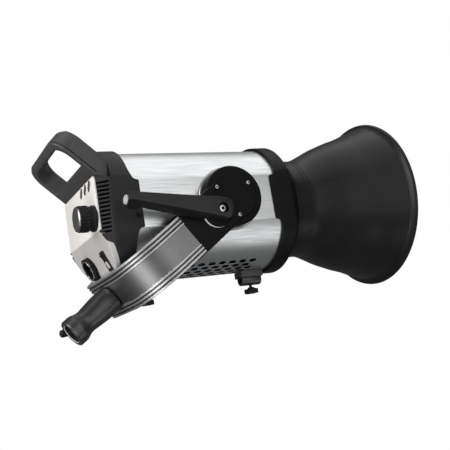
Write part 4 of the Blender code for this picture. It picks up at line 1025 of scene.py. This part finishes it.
def lever_facet(low, high, place):
    """Cuts away the lever's lower front edge, more and more towards its tip."""
    rows = []
    for x, ridge in ((-0.004, 0.0115), (LEVER_LENGTH + 0.004, 0.0005)):
        slope = (high - low - 0.002) / (0.0125 - ridge + 0.004)
        corners = [(ridge - 0.004, high + 0.004 * slope), (0.05, high + 0.004 * slope)]
        corners += [(0.05, high - (0.05 - ridge) * slope)]
        rows.append([place @ Vector((x, y, z)) for y, z in corners])
    return skinned(rows)


def paint_highlight_faces(obj, material, chosen):
    """Paints a second material on the faces whose centre is chosen, used here for painted highlights."""
    obj.data.materials.append(material)
    for face in obj.data.polygons:
        if chosen(face.center):
            face.material_index = 1


def make_lever_hub(place):
    """A disc under the lever, with a pale band painted round its foot as a highlight."""
    hub = [(0, 0), (0.0195, 0), (0.0195, 0.0032), (0.0192, 0.0042), (0.0184, 0.0051)]
    hub = turned("lever_hub_disc", hub + [(0.0172, 0.0055), (0, 0.0055)], CASTING, place, 96)
    seen = place.inverted()
    # The hub's side band is painted pale: a painted highlight.
    paint_highlight_faces(hub, PALE_RIM_AND_HIGHLIGHT, lambda at: (seen @ at).z < 0.0031 and (seen @ at).xy.length > 0.018)
    stands_for(hub, "lever", "black_casting", "lever_hub")


def make_lock_lever():
    local = Matrix.Rotation(-YOKE_TILT, 4, "Y") @ Vector((-0.989, 0, 0.147))
    place = axis_frame((0, -ARM_FACE - GAP, -LEVER_PIVOT), (0, -1, 0), local, YOKE)
    make_lever_hub(place)
    wide, narrow, tip = 0.0125, 0.0088, LEVER_LENGTH
    low, high = 0.0058, 0.0215
    corner = 0.009
    outline = arc((corner - wide, wide - corner), corner, 90, 180, 10)
    outline += arc((corner - wide, corner - wide), corner, 180, 270, 10)
    outline += [(tip, -narrow), (tip, narrow)]
    lever = solid("lock_lever_bar", shape((outline, low, high, "Z", place)), LEVER)
    slope = [(0.02, high + 0.01), (tip + 0.02, high + 0.01), (tip + 0.02, high - 0.0045), (0.02, high)]
    combine(lever, shape((slope, -0.03, 0.03, "Y", place)))
    # The lower facet gets the slightly darker knob finish: painted shade on the downward-facing facet.
    combine(lever, lever_facet(low, high, place), material=KNOB)
    rounded(lever, 0.0016, 3, 20.0)
    combine(lever, round_shape(disc(0.0066, high - 0.006, high + 0.01), place, 64))
    stands_for(lever, "lever", "black_casting", "lock_lever")
    screw = [(0, high - 0.0057), (0.005, high - 0.0057), (0.005, high - 0.0046), (0.0045, high - 0.004)]
    screw += [(0.0035, high - 0.0036), (0, high - 0.0036)]
    screw = turned("lever_screw_head", screw, STEEL, place, 48)
    add_hex_recess(screw, place, 0.0042, 0.0016, high - 0.0036)
    stands_for(screw, "lever", "bright_steel", "lever_screw")
    seat = place @ Matrix.Translation((tip + GAP, 0, (low + high - 0.004) / 2)) @ SIDEWAYS
    cap = [(0, 0), (0.0058, 0), (0.0057, 0.0009), (0.0052, 0.0018), (0.0043, 0.0025)]
    cap += [(0.0028, 0.003), (0, 0.0033)]
    stands_for(turned("lever_end_plug", cap, TIP, seat, 48), "lever", "grey_tip", "lever_end_cap")


def make_stand_socket():
    top = -YOKE_DROP - GAP
    mouth = top - SOCKET_LENGTH
    bore, mouth_bore = 0.0083, 0.0125
    knots = [(0.0175, top - 0.0008), (0.0174, top - 0.012), (0.0171, top - 0.022), (0.0163, top - 0.03)]
    knots += [(0.0157, top - 0.036), (0.015, top - 0.0415), (0.015, top - 0.0445), (0.0154, top - 0.048)]
    knots += [(0.0172, top - 0.0535), (0.018, top - 0.057), (0.018, mouth + 0.0012)]
    outside = [(0, top), (0.0168, top), *smooth_line(knots, 5), (0.0174, mouth + 0.0004), (0.0171, mouth)]
    inside = [(mouth_bore + 0.0004, mouth), (mouth_bore, mouth + 0.0004), (mouth_bore, mouth + 0.006)]
    inside += [(bore, mouth + 0.012), (bore, mouth + 0.052), (0, mouth + 0.052)]
    socket = turned("stand_socket_body", (outside + inside)[::-1], SOCKET, YOKE, 96)
    seen = YOKE.inverted()
    # A thin pale ring painted on the mouth's inner chamfer: a painted highlight on the lip.
    band = mouth_bore + 0.0012
    paint_highlight_faces(socket, PALE_RIM_AND_HIGHLIGHT, lambda at: (seen @ at).z < mouth + 0.0005 and (seen @ at).xy.length < band)
    seat = axis_frame((0, 0, mouth + 0.0125), (0, 1, 0), (-0.42, 0, -0.9), YOKE)
    combine(socket, round_shape(disc(0.0033, 0, 0.03), seat, 40))
    stands_for(socket, "yoke", "black_socket", "stand_socket")
    make_clamp_handle(seat)


def make_clamp_handle(seat):
    """A short bar across the screw that grips the spigot."""
    half, height = 0.0155, 0.036
    ends = [(0, -half), (0.00225, 0.0004 - half), (0.00375, 0.0013 - half), (0.00465, 0.0026 - half)]
    ends += [(0.005, 0.0042 - half)]
    profile = ends + [(radius, -h) for radius, h in reversed(ends)]
    along = seat @ Matrix.Translation((0, 0, height)) @ SIDEWAYS
    handle = turned("clamp_handle_bar", profile, KNOB, along, 48)
    stem = [(0, 0.0105), (0.003, 0.0105), (0.003, 0.0195), (0.0054, 0.02), (0.006, 0.0208)]
    stem += [(0.006, height), (0, height)]
    combine(handle, round_shape(stem, seat, 48), "UNION", KNOB)
    stands_for(handle, "clamp", "black_knob", "clamp_handle")


# Finishes of the plain pieces, studio and camera


def dress_frame():
    """Finishes for the CAD pieces that are shown as they are."""
    finishes = {
        PLATE: ("chassis_plate", "front_plate"), BOARD: ("circuit_board",), CASING: ("transformer",),
        KNOB: ("fan_frame", "fan_rotor"), STEEL: ("socket_bolt", "tilt_bolt_near", "tilt_bolt_far"),
        SLEEVE: ("capacitor_1", "capacitor_2", "capacitor_3"),
    }
    for material, names in finishes.items():
        for name in names:
            for holder in frame["nodes"][name].material_slots:
                holder.material = material


AMBIENT = 0.15


def make_world():
    """White behind the object, and dimmer all round it so that the soft lights shape it."""
    world = bpy.data.worlds.new("White studio")
    bpy.context.scene.world = world
    world.use_nodes = True
    tree = world.node_tree
    backdrop = tree.nodes["Background"]
    feed(backdrop, {"Color": (1.0, 1.0, 1.0, 1.0)})
    around = add_node(tree, "Background")
    feed(around, {"Strength": AMBIENT})
    seen = add_node(tree, "LightPath").outputs["Is Camera Ray"]
    either = add_node(tree, "MixShader")
    tree.links.new(seen, either.inputs["Fac"])
    tree.links.new(around.outputs["Background"], either.inputs[1])
    tree.links.new(backdrop.outputs["Background"], either.inputs[2])
    tree.links.new(either.outputs["Shader"], tree.nodes["World Output"].inputs["Surface"])


SOFT_LIGHTS = {  # place from the tilt axis, width, height, brightness of its face
    "top": ((0.25, -0.15, 1.5), 2.2, 2.2, 1.2),
    "below": ((0.85, -0.85, -1.25), 0.8, 0.8, 1.3),
    "front": ((0.3, -1.75, 0.15), 1.3, 2.2, 1.25),
    "left": ((-1.5, -0.3, 0.45), 1.2, 1.2, 6.0),
    "ahead": ((2.2, 0.5, 0.5), 1.6, 1.6, 0.9),
    "low_left": ((-1.3, -0.8, -1.05), 0.9, 0.9, 4.0),
}


def make_studio():
    make_world()
    bpy.context.scene.view_settings.view_transform = "Standard"
    pale = surface("pale_floor", (0.85,) * 3, (0.84,) * 3, 0.9, grain=20, bump=0, depth=0.05)
    glow = {"Emission Color": (1.0, 1.0, 1.0, 1.0), "Emission Strength": 0.45}
    feed(pale.node_tree.nodes["Principled BSDF"], glow)
    floor = solid("studio_floor", shape((rectangle(-5, 5, -5, 5), -2.0, -1.99, "Z", Matrix())), pale)
    floor.visible_glossy = False
    for name, (spot, width, height, brightness) in SOFT_LIGHTS.items():
        light = bpy.data.lights.new(name, "AREA")
        light.shape = "RECTANGLE"
        light.size = width
        light.size_y = height
        light.energy = brightness * math.pi * width * height
        lamp = bpy.data.objects.new(name, light)
        bpy.context.scene.collection.objects.link(lamp)
        lamp.location = TILT_AXIS + Vector(spot)
        lamp.rotation_euler = (-Vector(spot)).to_track_quat("-Z", "Y").to_euler()


CAMERA_FROM_AXIS = Vector((-0.4372, -0.9001, -0.2085))
CAMERA_ANGLES = (100.866, 9.195, -25.675)
CAMERA_LENS = 61.16


def make_camera():
    camera = bpy.data.cameras.new("camera")
    camera.lens = CAMERA_LENS
    camera.sensor_width = 36.0
    camera.clip_start = 0.05
    holder = bpy.data.objects.new("camera", camera)
    bpy.context.scene.collection.objects.link(holder)
    holder.location = TILT_AXIS + CAMERA_FROM_AXIS
    holder.rotation_euler = [math.radians(angle) for angle in CAMERA_ANGLES]
    bpy.context.scene.camera = holder


make_covers()
make_rear_casing()
make_front_bezel()
make_carry_handle()
make_rear_panel()
make_connector_panel()
make_power_dial()
make_buttons()
make_power_inlet()
make_switch()
make_casing_screws()
make_umbrella_holder("front", 0.053)
make_umbrella_holder("rear", -0.097)
make_light_source()
make_bayonet_ring()
make_reflector()
make_release_latch()
make_yoke_bar()
for side, sign in SIDES.items():
    make_yoke_end(side, sign)
    make_hub_cap(side, sign)
    make_tilt_joint(side, sign)
make_lock_lever()
make_stand_socket()
dress_frame()
make_studio()
make_camera()
